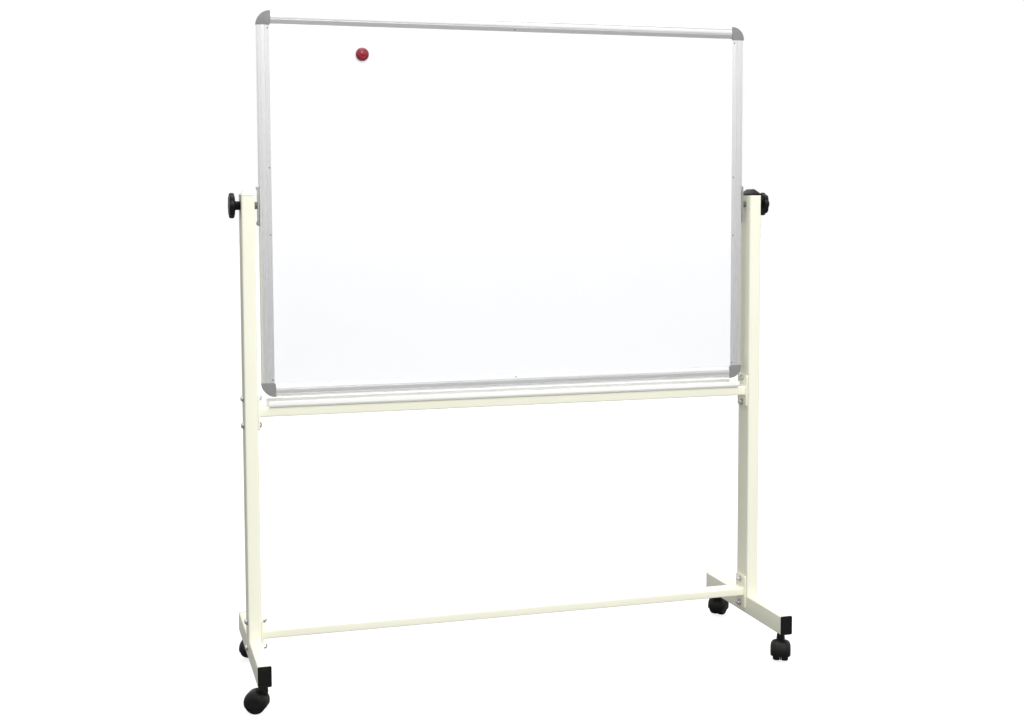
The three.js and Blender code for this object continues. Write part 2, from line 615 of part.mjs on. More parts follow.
// Profiles up the stem's axis: [radius, height]. The stem has a collar under the foot.
const COLLAR_TOP = FOOT_Z - GAP;
const STEM_PROFILE = [
  [0, 47.5], [5, 47.5], [5, 62.2], [8.6, 62.2], [8.6, COLLAR_TOP], [5, COLLAR_TOP],
  [5, 95], [3.8, 97], [0, 97],
];
const NECK_PROFILE = [[0, 38], [11, 38], [9.4, 52], [8.6, 61.4], [0, 61.4]];
// Profiles about the axle: [radius, distance along the axle].
const SHELL_PROFILE = [
  [0, -HOOD_HALF], [18, -HOOD_HALF], [24.6, -19], [HOOD_R, -12],
  [HOOD_R, 12], [24.6, 19], [18, HOOD_HALF], [0, HOOD_HALF],
];
const CAVITY_PROFILE = [
  [0, 1.5], [CAVITY_R, 1.5], [CAVITY_R, 16.6], [CAVITY_R - 1.9, CAVITY_HALF], [0, CAVITY_HALF],
];
const WHEEL_PROFILE = [
  [4.5, 0], [WHEEL_R - 1.8, 0], [WHEEL_R, 1.8], [WHEEL_R, 14],
  [WHEEL_R - 2.2, 16.2], [4.5, 16.2], [4.5, 0],
];

function castorHood() {
  const shell = revolve(SHELL_PROFILE, 20, [0, 1, 0], [TRAIL, 0, AXLE_Z + HOOD_LIFT]);
  const neck = revolve(NECK_PROFILE, 12, Z_AXIS, [0, 0, 0]);
  // a wheel cavity each side leaves a web in the middle
  const cavities = [-1, 1].map((sign) =>
    revolve(CAVITY_PROFILE, 20, [0, sign, 0], [TRAIL, 0, AXLE_Z]));
  const { radius, z, length, segments } = STEM_HOLE;
  const stemHole = rod(radius, Z_AXIS, [0, 0, z], length, segments);
  const below = box([-60, 80], [-60, 60], [-20, HOOD_BOTTOM]);
  const axleHalf = CAVITY_HALF + 1;
  const axle = rod(AXLE_R, [0, 1, 0], [TRAIL, -axleHalf, AXLE_Z], 2 * axleHalf, 10);
  return union(cut(union(shell, neck), ...cavities, stemHole, below), axle);
}

function castorWheel(sign) {
  const at = [TRAIL, sign * WHEEL_Y, AXLE_Z];
  return revolve(WHEEL_PROFILE, WHEEL_SEG, [0, sign, 0], at, Math.PI / WHEEL_SEG);
}

for (const [name, side, end, angle] of CASTORS) {
  const at = [side * UPRIGHT_X, end * CASTOR_Y, 0];
  const castor = new THREE.Group();
  castor.position.set(...at);
  stand.add(castor);
  add(stand, `castor_stem_${name}`, revolve(STEM_PROFILE, 12, Z_AXIS, at), ZINC);

  const swivel = new THREE.Group();
  swivel.rotation.z = THREE.MathUtils.degToRad(angle);
  castor.add(swivel);
  add(swivel, `castor_hood_${name}`, castorHood(), BLACK);
  add(swivel, `castor_wheel_a_${name}`, castorWheel(-1), BLACK);
  add(swivel, `castor_wheel_b_${name}`, castorWheel(1), BLACK);
}

export default whiteboard;
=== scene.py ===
"""Rolling whiteboard: a framed board that tilts between two uprights on castors.

Metres, +Z up, floor at Z = 0. The board lies across X and its front faces -Y.
Shape dimensions are in millimetres and are turned into metres with MM; boxes of CAD nodes
come in metres. Each looks piece rides a body of the frame and replaces the plain CAD node.
"""
import json
import math

import bpy
import bmesh
import numpy as np
from mathutils import Matrix, Vector


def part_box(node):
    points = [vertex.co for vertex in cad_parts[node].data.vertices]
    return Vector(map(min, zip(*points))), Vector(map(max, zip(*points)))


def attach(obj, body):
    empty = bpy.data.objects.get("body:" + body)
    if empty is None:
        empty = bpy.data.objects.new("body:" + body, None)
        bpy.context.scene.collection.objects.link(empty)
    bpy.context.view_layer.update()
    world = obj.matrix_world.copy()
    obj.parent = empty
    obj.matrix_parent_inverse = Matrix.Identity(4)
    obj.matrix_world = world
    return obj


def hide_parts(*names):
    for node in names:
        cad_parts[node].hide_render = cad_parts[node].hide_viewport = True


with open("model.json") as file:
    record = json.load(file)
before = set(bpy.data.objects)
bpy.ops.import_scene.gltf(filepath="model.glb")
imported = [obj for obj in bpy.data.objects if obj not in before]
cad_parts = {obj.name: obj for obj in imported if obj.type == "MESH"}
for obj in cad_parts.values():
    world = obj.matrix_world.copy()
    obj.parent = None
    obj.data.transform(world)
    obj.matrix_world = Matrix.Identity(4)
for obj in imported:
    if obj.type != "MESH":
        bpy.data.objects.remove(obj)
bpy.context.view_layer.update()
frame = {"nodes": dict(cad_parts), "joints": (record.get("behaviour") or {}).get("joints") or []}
MM = 0.001
SHARP = 32.0  # degrees between faces above which an edge shades sharp
SIDES = (("left", -1), ("right", 1))  # name, direction outwards along X
UP = Vector((0, 0, 1))
scene = bpy.context.scene


# ------------------------------------------------------------------ CAD measurements
def measure(node):
    """Low corner, high corner and middle in metres, and the size in mm, of a CAD node."""
    low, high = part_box(node)
    return low, high, (low + high) / 2, [(b - a) / MM for a, b in zip(low, high)]


def inner_outer(node, sign):
    """The node's X nearest to the board and farthest from it, in metres."""
    low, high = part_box(node)
    return (high.x, low.x) if sign < 0 else (low.x, high.x)


PROFILE_BOX = {s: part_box(f"frame_profile_{s}") for s in ("left", "right", "top", "bottom")}
_left, _right = PROFILE_BOX["left"], PROFILE_BOX["right"]
# outer edge of the frame on each side (mm) and the direction inwards from it
EDGE = {
    "left": (_left[0].x / MM, 1),
    "right": (_right[1].x / MM, -1),
    "bottom": (PROFILE_BOX["bottom"][0].z / MM, 1),
    "top": (PROFILE_BOX["top"][1].z / MM, -1),
}
# mm: the board's middle, the half depth of its frame and the face width of a profile
MID_X = (_left[0].x + _right[1].x) / 2 / MM
MID_Y = (_left[0].y + _left[1].y) / 2 / MM
HALF_DEPTH = (_left[1].y - _left[0].y) / 2 / MM
FACE = (_left[1].x - _left[0].x) / MM
PIVOT_Z = measure("writing_sheet_front")[2].z / MM  # the board turns about its own centre


# ------------------------------------------------------------------ outlines (2-D, mm)
def fillet(points, radii, steps=4):
    """Rounds the corners of a closed polygon. radii: one number, or one per corner."""
    rounded = []
    count = len(points)
    for i in range(count):
        corner = np.array(points[i], float)
        radius = radii if isinstance(radii, (int, float)) else radii[i]
        if radius <= 0:
            rounded.append(tuple(corner))
            continue
        back = np.array(points[i - 1], float) - corner
        ahead = np.array(points[(i + 1) % count], float) - corner
        back_length, ahead_length = np.linalg.norm(back), np.linalg.norm(ahead)
        back, ahead = back / back_length, ahead / ahead_length
        angle = math.acos(float(np.clip(back @ ahead, -1, 1)))
        if angle > math.radians(176):  # nearly straight
            rounded.append(tuple(corner))
            continue
        setback = min(radius / math.tan(angle / 2), back_length * 0.48, ahead_length * 0.48)
        fitted = setback * math.tan(angle / 2)
        bisector = (back + ahead) / np.linalg.norm(back + ahead)
        centre = corner + bisector * (fitted / math.sin(angle / 2))
        start, end = corner + back * setback - centre, corner + ahead * setback - centre
        first = math.atan2(start[1], start[0])
        sweep = math.atan2(end[1], end[0]) - first
        while sweep > math.pi:
            sweep -= 2 * math.pi
        while sweep < -math.pi:
            sweep += 2 * math.pi
        for k in range(steps + 1):
            turn = first + sweep * k / steps
            rounded.append((centre[0] + fitted * math.cos(turn),
                            centre[1] + fitted * math.sin(turn)))
    return rounded


def round_rect(width, height, radius, steps=6):
    x, y = width / 2, height / 2
    return fillet([(x, y), (-x, y), (-x, -y), (x, -y)], radius, steps)


def shifted(outline, du, dv):
    return [(u + du, v + dv) for u, v in outline]


def place(outline, axis, at):
    """Puts an outline across an axis. X: (y, z); Y: (x, z); Z: (x, y). at: metres."""
    if axis == "X":
        return [Vector((at, u * MM, v * MM)) for u, v in outline]
    if axis == "Y":
        return [Vector((u * MM, at, v * MM)) for u, v in outline]
    return [Vector((u * MM, v * MM, at)) for u, v in outline]


def rect_ring(axis, size, middle, inset, radius, at):
    """A rounded rectangle, inset from size, about middle and across axis; all in mm."""
    outline = round_rect(size[0] - 2 * inset, size[1] - 2 * inset, radius)
    return place(shifted(outline, *middle), axis, at * MM)


# ------------------------------------------------------------------ parts: (vertices, faces)
def basis(axis, reference=None):
    """Right-handed basis (u, v, axis)."""
    along = Vector(axis).normalized()
    if reference is None:
        reference = (0, 0, 1) if abs(along.z) < 0.9 else (1, 0, 0)
    u = Vector(reference).cross(along).normalized()
    v = along.cross(u).normalized()
    return u, v, along


def revolve(outline, segments, axis, origin, closed=False, wobble=None):
    """Body of revolution from [(radius, distance along axis)] in mm; radius 0 is a pole.

    closed joins the last ring to the first. wobble(ring, angle) is added to the radius.
    """
    u, v, along = basis(axis)
    origin = Vector(origin)
    verts, faces, rings = [], [], []
    for k, (radius, distance) in enumerate(outline):
        if radius < 1e-9:
            rings.append([len(verts)])
            verts.append(origin + along * distance * MM)
            continue
        ring = []
        for i in range(segments):
            angle = 2 * math.pi * i / segments
            reach = radius if wobble is None else radius + wobble(k, angle)
            ring.append(len(verts))
            around = u * math.cos(angle) + v * math.sin(angle)
            verts.append(origin + around * reach * MM + along * distance * MM)
        rings.append(ring)
    pairs = list(zip(rings[:-1], rings[1:]))
    if closed:
        pairs.append((rings[-1], rings[0]))
    for this, other in pairs:
        for i in range(segments):
            j = (i + 1) % segments
            if len(this) == 1:
                faces.append((this[0], other[j], other[i]))
            elif len(other) == 1:
                faces.append((this[i], this[j], other[0]))
            else:
                faces.append((this[i], this[j], other[j], other[i]))
    return verts, faces


def join_parts(parts):
    verts, faces = [], []
    for part_verts, part_faces in parts:
        start = len(verts)
        verts += list(part_verts)
        faces += [tuple(i + start for i in face) for face in part_faces]
    return verts, faces


def slab(outline, axis, a, b):
    """Solid extrusion of an outline from a to b (metres along axis)."""
    count = len(outline)
    verts = place(outline, axis, a) + place(outline, axis, b)
    faces = []
    for i in range(count):
        j = (i + 1) % count
        faces.append((i, j, count + j, count + i))
    faces.append(tuple(reversed(range(count))))
    faces.append(tuple(range(count, 2 * count)))
    return verts, faces


def tube(outer, inner, axis, a, b):
    """Hollow extrusion between two outlines of equal length."""
    count = len(outer)
    verts = [v for outline in (outer, inner) for at in (a, b) for v in place(outline, axis, at)]
    out_a, out_b, in_a, in_b = (range(k * count, (k + 1) * count) for k in range(4))
    faces = []
    for i in range(count):
        j = (i + 1) % count
        faces.append((out_a[i], out_a[j], out_b[j], out_b[i]))
    for i in range(count):
        j = (i + 1) % count
        faces.append((in_a[j], in_a[i], in_b[i], in_b[j]))
        faces.append((out_a[j], out_a[i], in_a[i], in_a[j]))
        faces.append((out_b[i], out_b[j], in_b[j], in_b[i]))
    return verts, faces


def loft(sections):
    """Skin over sections (lists of Vectors of one length), capped at both ends."""
    count = len(sections[0])
    verts = [v for section in sections for v in section]
    faces = []
    for k in range(len(sections) - 1):
        for i in range(count):
            j = (i + 1) % count
            faces.append((k * count + i, k * count + j,
                          (k + 1) * count + j, (k + 1) * count + i))
    faces.append(tuple(reversed(range(count))))
    faces.append(tuple(range((len(sections) - 1) * count, len(sections) * count)))
    return verts, faces


def weld_bead(points, radius, segments, seed):
    """A run of weld along a polyline (metres): overlapping ripples that taper at the ends."""
    step = 0.9  # mm between rings
    points = [Vector(p) for p in points]
    path = []
    for a, b in zip(points[:-1], points[1:]):
        count = max(2, int((b - a).length / (step * MM)))
        for k in range(count):
            path.append(a.lerp(b, k / count))
    path.append(points[-1])
    last = len(path) - 1
    sections = []
    for k, centre in enumerate(path):
        tangent = (path[min(k + 1, last)] - path[max(k - 1, 0)]).normalized()
        u, v, _ = basis(tangent, (0.3, 0.5, 0.81))
        ripple = 1 + 0.10 * math.sin(k * 1.9 + seed) + 0.05 * math.sin(k * 0.7 + seed * 3)
        taper = min(1.0, 0.35 + min(k, last - k) * 0.35)
        section = []
        for i in range(segments):
            angle = 2 * math.pi * i / segments
            around = u * math.cos(angle) + v * math.sin(angle)
            section.append(centre + around * radius * ripple * taper * MM)
        sections.append(section)
    return loft(sections)


# ------------------------------------------------------------------ objects
def finish_mesh(mesh, sharp):
    """Cleans the mesh and shades it smooth with sharp edges above an angle (degrees)."""
    mesh.validate()
    work = bmesh.new()
    work.from_mesh(mesh)
    bmesh.ops.remove_doubles(work, verts=work.verts, dist=1e-7)
    bmesh.ops.dissolve_degenerate(work, edges=work.edges, dist=1e-7)
    bmesh.ops.recalc_face_normals(work, faces=work.faces)
    work.to_mesh(mesh)
    work.free()
    for polygon in mesh.polygons:
        polygon.use_smooth = True
    mesh.set_sharp_from_angle(angle=math.radians(sharp))
    mesh.update()


def build(name, part, sharp=SHARP):
    """Makes an object of a part."""
    verts, faces = part
    mesh = bpy.data.meshes.new(name)
    mesh.from_pydata([tuple(v) for v in verts], [], faces)
    finish_mesh(mesh, sharp)
    obj = bpy.data.objects.new(name, mesh)
    scene.collection.objects.link(obj)
    return obj


def discard(obj):
    mesh = obj.data
    bpy.data.objects.remove(obj)
    bpy.data.meshes.remove(mesh)


def apply_modifiers(obj, sharp=SHARP):
    depsgraph = bpy.context.evaluated_depsgraph_get()
    depsgraph.update()
    mesh = bpy.data.meshes.new_from_object(obj.evaluated_get(depsgraph))
    old = obj.data
    obj.modifiers.clear()
    obj.data = mesh
    bpy.data.meshes.remove(old)
    finish_mesh(mesh, sharp)


def bevel(obj, width, segments, angle):
    """Rounds edges sharper than angle (degrees) by width (mm)."""
    modifier = obj.modifiers.new("edge", "BEVEL")
    modifier.width = width * MM
    modifier.segments = segments
    modifier.limit_method = "ANGLE"
    modifier.angle_limit = math.radians(angle)
    modifier.miter_outer = "MITER_ARC"
    apply_modifiers(obj)


def boolean(obj, tool_parts, operation="DIFFERENCE", sharp=SHARP):
    tools = [build("tool", part, tool_sharp) for part, tool_sharp in tool_parts]
    for tool in tools:
        modifier = obj.modifiers.new("b", "BOOLEAN")
        modifier.operation = operation
        modifier.solver = "EXACT"
        modifier.object = tool
    apply_modifiers(obj, sharp)
    for tool in tools:
        discard(tool)


def cut(obj, *parts, sharp=SHARP):
    boolean(obj, [(part, SHARP) for part in parts], "DIFFERENCE", sharp)


def merge(name, objects):
    """One object in place of several."""
    parts = []
    for obj in objects:
        parts.append(([v.co.copy() for v in obj.data.vertices],
                      [tuple(p.vertices) for p in obj.data.polygons]))
        discard(obj)
    return build(name, join_parts(parts))


def piece(obj, body, material, cad_node=None):
    """Finishes a looks piece: its material, the body it rides and the CAD node it replaces."""
    obj.data.materials.clear()
    obj.data.materials.append(material)
    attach(obj, body)
    if cad_node:
        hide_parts(cad_node)


def paint(node, material):
    obj = frame["nodes"][node]
    if not obj.material_slots:
        obj.data.materials.append(material)
    for slot in obj.material_slots:
        slot.material = material


# ------------------------------------------------------------------ materials
def map_range(tree, value, span, to, smooth=False):
    """Maps the values in span onto the range to."""
    node = tree.nodes.new("ShaderNodeMapRange")
    if smooth:
        node.interpolation_type = "SMOOTHSTEP"
    for key, number in zip(("From Min", "From Max", "To Min", "To Max"), (*span, *to)):
        node.inputs[key].default_value = number
    tree.links.new(value, node.inputs["Value"])
    return node.outputs["Result"]


def scaled(color, factor):
    return tuple(c * factor for c in color)


def paler(color, gain, lift):
    return tuple(min(1, c * gain + lift) for c in color)


class Surface:
    """A Principled material with textures in object space. Helpers return sockets."""

    def __init__(self, name, color, rough, metallic=0.0, **inputs):
        self.material = bpy.data.materials.new(name)
        self.material.use_nodes = True
        self.tree = self.material.node_tree
        self.shader = self.tree.nodes["Principled BSDF"]
        self.shader.inputs["Base Color"].default_value = (*color, 1)
        self.shader.inputs["Roughness"].default_value = rough
        self.shader.inputs["Metallic"].default_value = metallic
        for key, value in inputs.items():
            self.shader.inputs[key.replace("_", " ")].default_value = value
        self.coordinates = self.node("ShaderNodeTexCoord")
        self.normal = None

    def node(self, kind, **props):
        node = self.tree.nodes.new(kind)
        for key, value in props.items():
            setattr(node, key, value)
        return node

    def link(self, a, b):
        self.tree.links.new(a, b)

    def noise(self, scale, detail=3.0, rough=0.55, stretch=(1, 1, 1), distortion=0.0,
              turn=(0, 0, 0)):
        """Noise; stretch multiplies the frequency along each axis, turn is in radians."""
        node = self.node("ShaderNodeTexNoise")
        node.inputs["Scale"].default_value = scale
        node.inputs["Detail"].default_value = detail
        node.inputs["Roughness"].default_value = rough
        node.inputs["Distortion"].default_value = distortion
        mapping = self.node("ShaderNodeMapping")
        mapping.inputs["Scale"].default_value = stretch
        mapping.inputs["Rotation"].default_value = turn
        self.link(self.coordinates.outputs["Object"], mapping.inputs["Vector"])
        self.link(mapping.outputs["Vector"], node.inputs["Vector"])
        return node.outputs["Fac"]

    def remap(self, value, span, to=(0.0, 1.0)):
        return map_range(self.tree, value, span, to)

    def math(self, operation, a, b):
        node = self.node("ShaderNodeMath", operation=operation)
        self.link(a, node.inputs[0])
        if isinstance(b, (int, float)):
            node.inputs[1].default_value = b
        else:
            self.link(b, node.inputs[1])
        return node.outputs[0]

    def mix(self, factor, base, color):
        """base (a colour or a socket) turning to color where factor is 1."""
        node = self.node("ShaderNodeMix", data_type="RGBA")
        self.link(factor, node.inputs[0])
        if isinstance(base, tuple):
            node.inputs[6].default_value = (*base, 1)
        else:
            self.link(base, node.inputs[6])
        node.inputs[7].default_value = (*color, 1)
        return node.outputs[2]

    def color(self, value):
        self.link(value, self.shader.inputs["Base Color"])

    def rough(self, value, mask=None, gain=0.0):
        """Roughness, raised by gain where the mask is 1."""
        if mask is not None:
            value = self.math("ADD", value, self.math("MULTIPLY", mask, gain))
        self.link(value, self.shader.inputs["Roughness"])

    def bump(self, height, depth, strength):
        """Adds relief of a depth in mm on top of earlier relief."""
        node = self.node("ShaderNodeBump")
        node.inputs["Strength"].default_value = strength
        node.inputs["Distance"].default_value = depth * MM
        self.link(height, node.inputs["Height"])
        if self.normal is not None:
            self.link(self.normal, node.inputs["Normal"])
        self.normal = node.outputs["Normal"]
        self.link(self.normal, self.shader.inputs["Normal"])

    def edge_mask(self, radius):
        """1 on edges and corners within radius (mm), 0 on flats."""
        rounded = self.node("ShaderNodeBevel", samples=4)
        rounded.inputs["Radius"].default_value = radius * MM
        geometry = self.node("ShaderNodeNewGeometry")
        dot = self.node("ShaderNodeVectorMath", operation="DOT_PRODUCT")
        self.link(rounded.outputs["Normal"], dot.inputs[0])
        self.link(geometry.outputs["Normal"], dot.inputs[1])
        return self.remap(dot.outputs["Value"], span=(0.995, 0.9))


def powder_coat(name, color, shade, rough=0.42):
    """Fine orange peel, soft mottling, faint specks, the odd fine scuff."""
    mat = Surface(name, color, rough, Coat_Weight=0.18, Coat_Roughness=0.25)
    mottle = mat.noise(scale=5.0)
    fine = mat.noise(scale=140.0, detail=4)
    tone = mat.mix(mat.remap(mottle, span=(0.35, 0.7), to=(0.0, 0.55)), color, shade)
    specks = mat.noise(scale=900.0, detail=2, rough=0.5)
    specks = mat.remap(specks, span=(0.66, 0.78), to=(0.0, 0.35))
    tone = mat.mix(specks, tone, scaled(shade, 0.9))
    scuff = mat.noise(scale=30.0, detail=5, rough=0.7, stretch=(1, 1, 6))
    scuff = mat.remap(scuff, span=(0.69, 0.76), to=(0.0, 0.35))
    mat.color(mat.mix(scuff, tone, scaled(shade, 0.82)))
    satin = mat.remap(fine, span=(0.3, 0.7), to=(rough - 0.06, rough + 0.08))
    mat.rough(satin, mask=scuff, gain=0.3)
    mat.bump(mat.noise(scale=620.0, detail=2, rough=0.5), depth=0.05, strength=0.55)
    mat.bump(mat.noise(scale=90.0, detail=2, rough=0.5), depth=0.06, strength=0.35)
    return mat.material


def drawn_aluminium(name, stretch):
    """Satin anodised profile with die lines; stretch is low along the profile's length."""
    mat = Surface(name, (0.84, 0.845, 0.85), rough=0.34, metallic=0.8)
    lines = mat.noise(scale=6.0, detail=6, rough=0.7, stretch=stretch)
    fine = mat.noise(scale=16.0, rough=0.6, stretch=stretch)
    cloud = mat.noise(scale=9.0)
    tone = mat.mix(mat.remap(lines, span=(0.3, 0.7)), (0.79, 0.793, 0.797), (0.90, 0.90, 0.903))
    clouded = mat.remap(cloud, span=(0.4, 0.75), to=(0, 0.35))
    mat.color(mat.mix(clouded, tone, (0.73, 0.73, 0.73)))
    mat.rough(mat.remap(fine, span=(0.3, 0.7), to=(0.21, 0.33)), mask=cloud, gain=0.06)
    mat.bump(lines, depth=0.02, strength=0.5)
    mat.bump(fine, depth=0.01, strength=0.5)
    return mat.material


def moulded(name, color, shade, rough, grain, depth=0.05, worn=None, dusty=0.03, specular=0.5):
    """Moulded plastic: fine texture, faint flow marks, dust, and edges rubbed to worn.

    grain: texture scale; depth: its relief in mm; dusty: how far dust lifts the shade.
    """
    mat = Surface(name, color, rough, Coat_Roughness=0.3, Specular_IOR_Level=specular)
    flow = mat.noise(scale=22.0, detail=4, rough=0.6, stretch=(1, 1, 2.5), distortion=0.6)
    texture = mat.noise(scale=grain, rough=0.6)
    tone = mat.mix(mat.remap(flow, span=(0.3, 0.75), to=(0, 0.7)), color, shade)
    if worn:
        patches = mat.noise(scale=120.0, detail=4, rough=0.7)
        patches = mat.remap(patches, span=(0.42, 0.62), to=(0.15, 1.0))
        patches = mat.math("MULTIPLY", patches, 0.55)  # strength of the wear
        tone = mat.mix(mat.math("MULTIPLY", mat.edge_mask(radius=0.9), patches), tone, worn)
    dust = mat.noise(scale=55.0, detail=5, rough=0.75)
    dust = mat.remap(dust, span=(0.6, 0.8), to=(0, 0.18))
    mat.color(mat.mix(dust, tone, paler(shade, gain=2.2, lift=dusty)))
    satin = mat.remap(texture, span=(0.3, 0.7), to=(rough - 0.06, rough + 0.08))
    mat.rough(satin, mask=dust, gain=0.8)
    mat.bump(texture, depth=depth, strength=0.8)
    mat.bump(mat.noise(scale=180.0, detail=2), depth=0.04, strength=0.25)
    return mat.material


def zinc(name, color, rough):
    """Blotchy zinc with small dull spots."""
    mat = Surface(name, color, rough, metallic=1.0)
    blotch = mat.noise(scale=160.0, detail=5, rough=0.65)
    tone = mat.mix(mat.remap(blotch, span=(0.35, 0.7)), color, scaled(color, 0.8))
    spots = mat.remap(mat.noise(scale=700.0), span=(0.6, 0.72), to=(0, 0.5))
    mat.color(mat.mix(spots, tone, (0.42, 0.41, 0.38)))
    mat.rough(mat.remap(blotch, span=(0.3, 0.7), to=(rough - 0.05, rough + 0.14)))
    mat.bump(mat.noise(scale=900.0, rough=0.6), depth=0.02, strength=0.5)
    return mat.material


def enamel(name, color):
    """Gloss dry-wipe enamel: faint wipe arcs, marker haze, slight waviness of thin steel."""
    mat = Surface(name, color, rough=0.1, Coat_Weight=0.35, Coat_Roughness=0.04)
    haze = mat.noise(scale=2.3, detail=5, rough=0.62, stretch=(1, 1, 1.8), distortion=1.2)
    haze = mat.remap(haze, span=(0.5, 0.78), to=(0.0, 0.10))
    tone = mat.mix(haze, color, (0.80, 0.82, 0.87))
    wipe = mat.noise(scale=3.0, detail=6, rough=0.7, stretch=(0.6, 1, 9), distortion=0.9,
                     turn=(0, math.radians(28), 0))
    arcs = mat.remap(wipe, span=(0.58, 0.75), to=(0, 0.07))
    tone = mat.mix(arcs, tone, (0.78, 0.80, 0.84))
    specks = mat.noise(scale=240.0, detail=2, rough=0.5)
    specks = mat.remap(specks, span=(0.735, 0.76), to=(0, 0.35))
    mat.color(mat.mix(specks, tone, (0.70, 0.71, 0.74)))
    mat.rough(mat.remap(wipe, span=(0.35, 0.72), to=(0.07, 0.17)), mask=haze, gain=0.5)
    mat.bump(mat.noise(scale=700.0, detail=2, rough=0.5), depth=0.004, strength=0.5)
    mat.bump(mat.noise(scale=5.0, detail=2, rough=0.5), depth=0.25, strength=0.12)
    return mat.material


def fibre(name):
    """Matt brown fibre board."""
    mat = Surface(name, (0.45, 0.36, 0.24), rough=0.9)
    strands = mat.noise(scale=420.0, detail=5, rough=0.7, stretch=(1, 6, 1))
    blend = mat.remap(strands, span=(0.3, 0.7))
    mat.color(mat.mix(blend, (0.50, 0.42, 0.29), (0.33, 0.26, 0.17)))
    mat.rough(mat.remap(strands, span=(0.3, 0.7), to=(0.82, 0.96)))
    mat.bump(strands, depth=0.15, strength=0.7)
    return mat.material


def gloss_plastic(name, color, dark):
    """Glossy plastic with soft mottling and fine scratches."""
    mat = Surface(name, color, rough=0.24, Coat_Weight=0.25, Coat_Roughness=0.1)
    mottle = mat.noise(scale=60.0, detail=4)
    tone = mat.mix(mat.remap(mottle, span=(0.35, 0.7), to=(0, 0.6)), color, dark)
    scratch = mat.noise(scale=50.0, detail=6, rough=0.75, stretch=(1, 1, 14), distortion=0.5,
                        turn=(0, 0.7, 0))
    scratch = mat.remap(scratch, span=(0.66, 0.72), to=(0, 0.25))
    mat.color(mat.mix(scratch, tone, paler(color, gain=1.6, lift=0.03)))
    mat.rough(mat.remap(mottle, span=(0.3, 0.7), to=(0.16, 0.3)), mask=scratch, gain=0.6)
    mat.bump(mat.noise(scale=500.0), depth=0.015, strength=0.5)
    return mat.material


CREAM = powder_coat("cream_powder_coat", color=(0.915, 0.915, 0.765), shade=(0.875, 0.87, 0.71))
TRAY_WHITE = powder_coat("tray_white_coat", color=(0.95, 0.95, 0.925),
                         shade=(0.92, 0.92, 0.89), rough=0.38)
ALUMINIUM_X = drawn_aluminium("aluminium_along_x", stretch=(1, 260, 260))
ALUMINIUM_Z = drawn_aluminium("aluminium_along_z", stretch=(260, 260, 1))
GREY = moulded("cap_grey_plastic", color=(0.25, 0.249, 0.253), shade=(0.205, 0.204, 0.208),
               rough=0.46, grain=1100.0, worn=(0.38, 0.38, 0.38))
BLACK = moulded("black_plastic", color=(0.003, 0.0032, 0.0027), shade=(0.0055, 0.0058, 0.005),
                rough=0.42, grain=1300.0, worn=(0.02, 0.02, 0.018), dusty=0.006, specular=0.22)
PLUG_WHITE = moulded("white_plug_plastic", color=(0.86, 0.86, 0.79), shade=(0.80, 0.80, 0.73),
                     rough=0.42, grain=1300.0, depth=0.04)
NYLON = moulded("wheel_nylon", color=(0.0045, 0.0048, 0.0042), shade=(0.008, 0.008, 0.0072),
                rough=0.5, grain=900.0, depth=0.07, worn=(0.024, 0.023, 0.021), dusty=0.008,
                specular=0.22)
BUSH = moulded("bush_plastic", color=(0.12, 0.12, 0.11), shade=(0.16, 0.16, 0.15),
               rough=0.45, grain=1200.0, dusty=0.015, specular=0.4)
ZINC = zinc("bright_zinc", color=(0.62, 0.63, 0.62), rough=0.24)
ZINC_DULL = zinc("dull_zinc", color=(0.66, 0.66, 0.65), rough=0.36)
RIVET_STEEL = zinc("rivet_steel", color=(0.34, 0.34, 0.34), rough=0.42)
ENAMEL = enamel("white_enamel", color=(0.93, 0.935, 0.95))
FIBRE = fibre("panel_fibre")
RED = gloss_plastic("red_magnet", color=(0.27, 0.005, 0.024), dark=(0.19, 0.003, 0.016))


# ------------------------------------------------------------------ board
def profile_section():
    """Closed (distance in from the outer edge, depth) section of the aluminium profile."""
    arris = 5.0  # radius of the rounded outer arris
    depth = HALF_DEPTH
    half = [(0, 0, 0)]  # distance in, depth, corner radius
    for k in range(8):
        angle = math.pi / 2 * k / 7
        half.append((arris - arris * math.cos(angle), depth - 5.5 + arris * math.sin(angle), 0))
    half += [
        (6.5, depth - 0.45, 0.3), (6.7, depth - 1.2, 0.25), (7.4, depth - 1.2, 0.25),
        (7.6, depth - 0.4, 0.3), (12.5, depth - 0.12, 0), (17.5, depth, 0.3),
        (17.7, depth - 1.0, 0.25), (18.5, depth - 1.0, 0.25), (18.8, depth - 0.15, 0.5),
        (23.5, depth - 1.25, 0), (27.4, depth - 2.35, 0.8), (FACE, depth - 2.6, 0.35),
        (FACE, 6.62, 0.25), (16.0, 6.62, 0.0),
    ]
    full = half + [(inward, -y, radius) for inward, y, radius in half[1:]][::-1]
    return fillet([p[:2] for p in full], [p[2] for p in full], 3)


def add_profile(side, section):
    low, high = PROFILE_BOX[side]
    edge, inward = EDGE[side]
    if side in ("left", "right"):
        outline = [(edge + inward * w, MID_Y - d) for w, d in section]
        part, material = slab(outline, "Z", low.z, high.z), ALUMINIUM_Z
    else:
        outline = [(MID_Y - d, edge + inward * w) for w, d in section]
        part, material = slab(outline, "X", low.x, high.x), ALUMINIUM_X
    piece(build(f"profile_{side}", part, 24), "board", material,
          f"frame_profile_{side}")


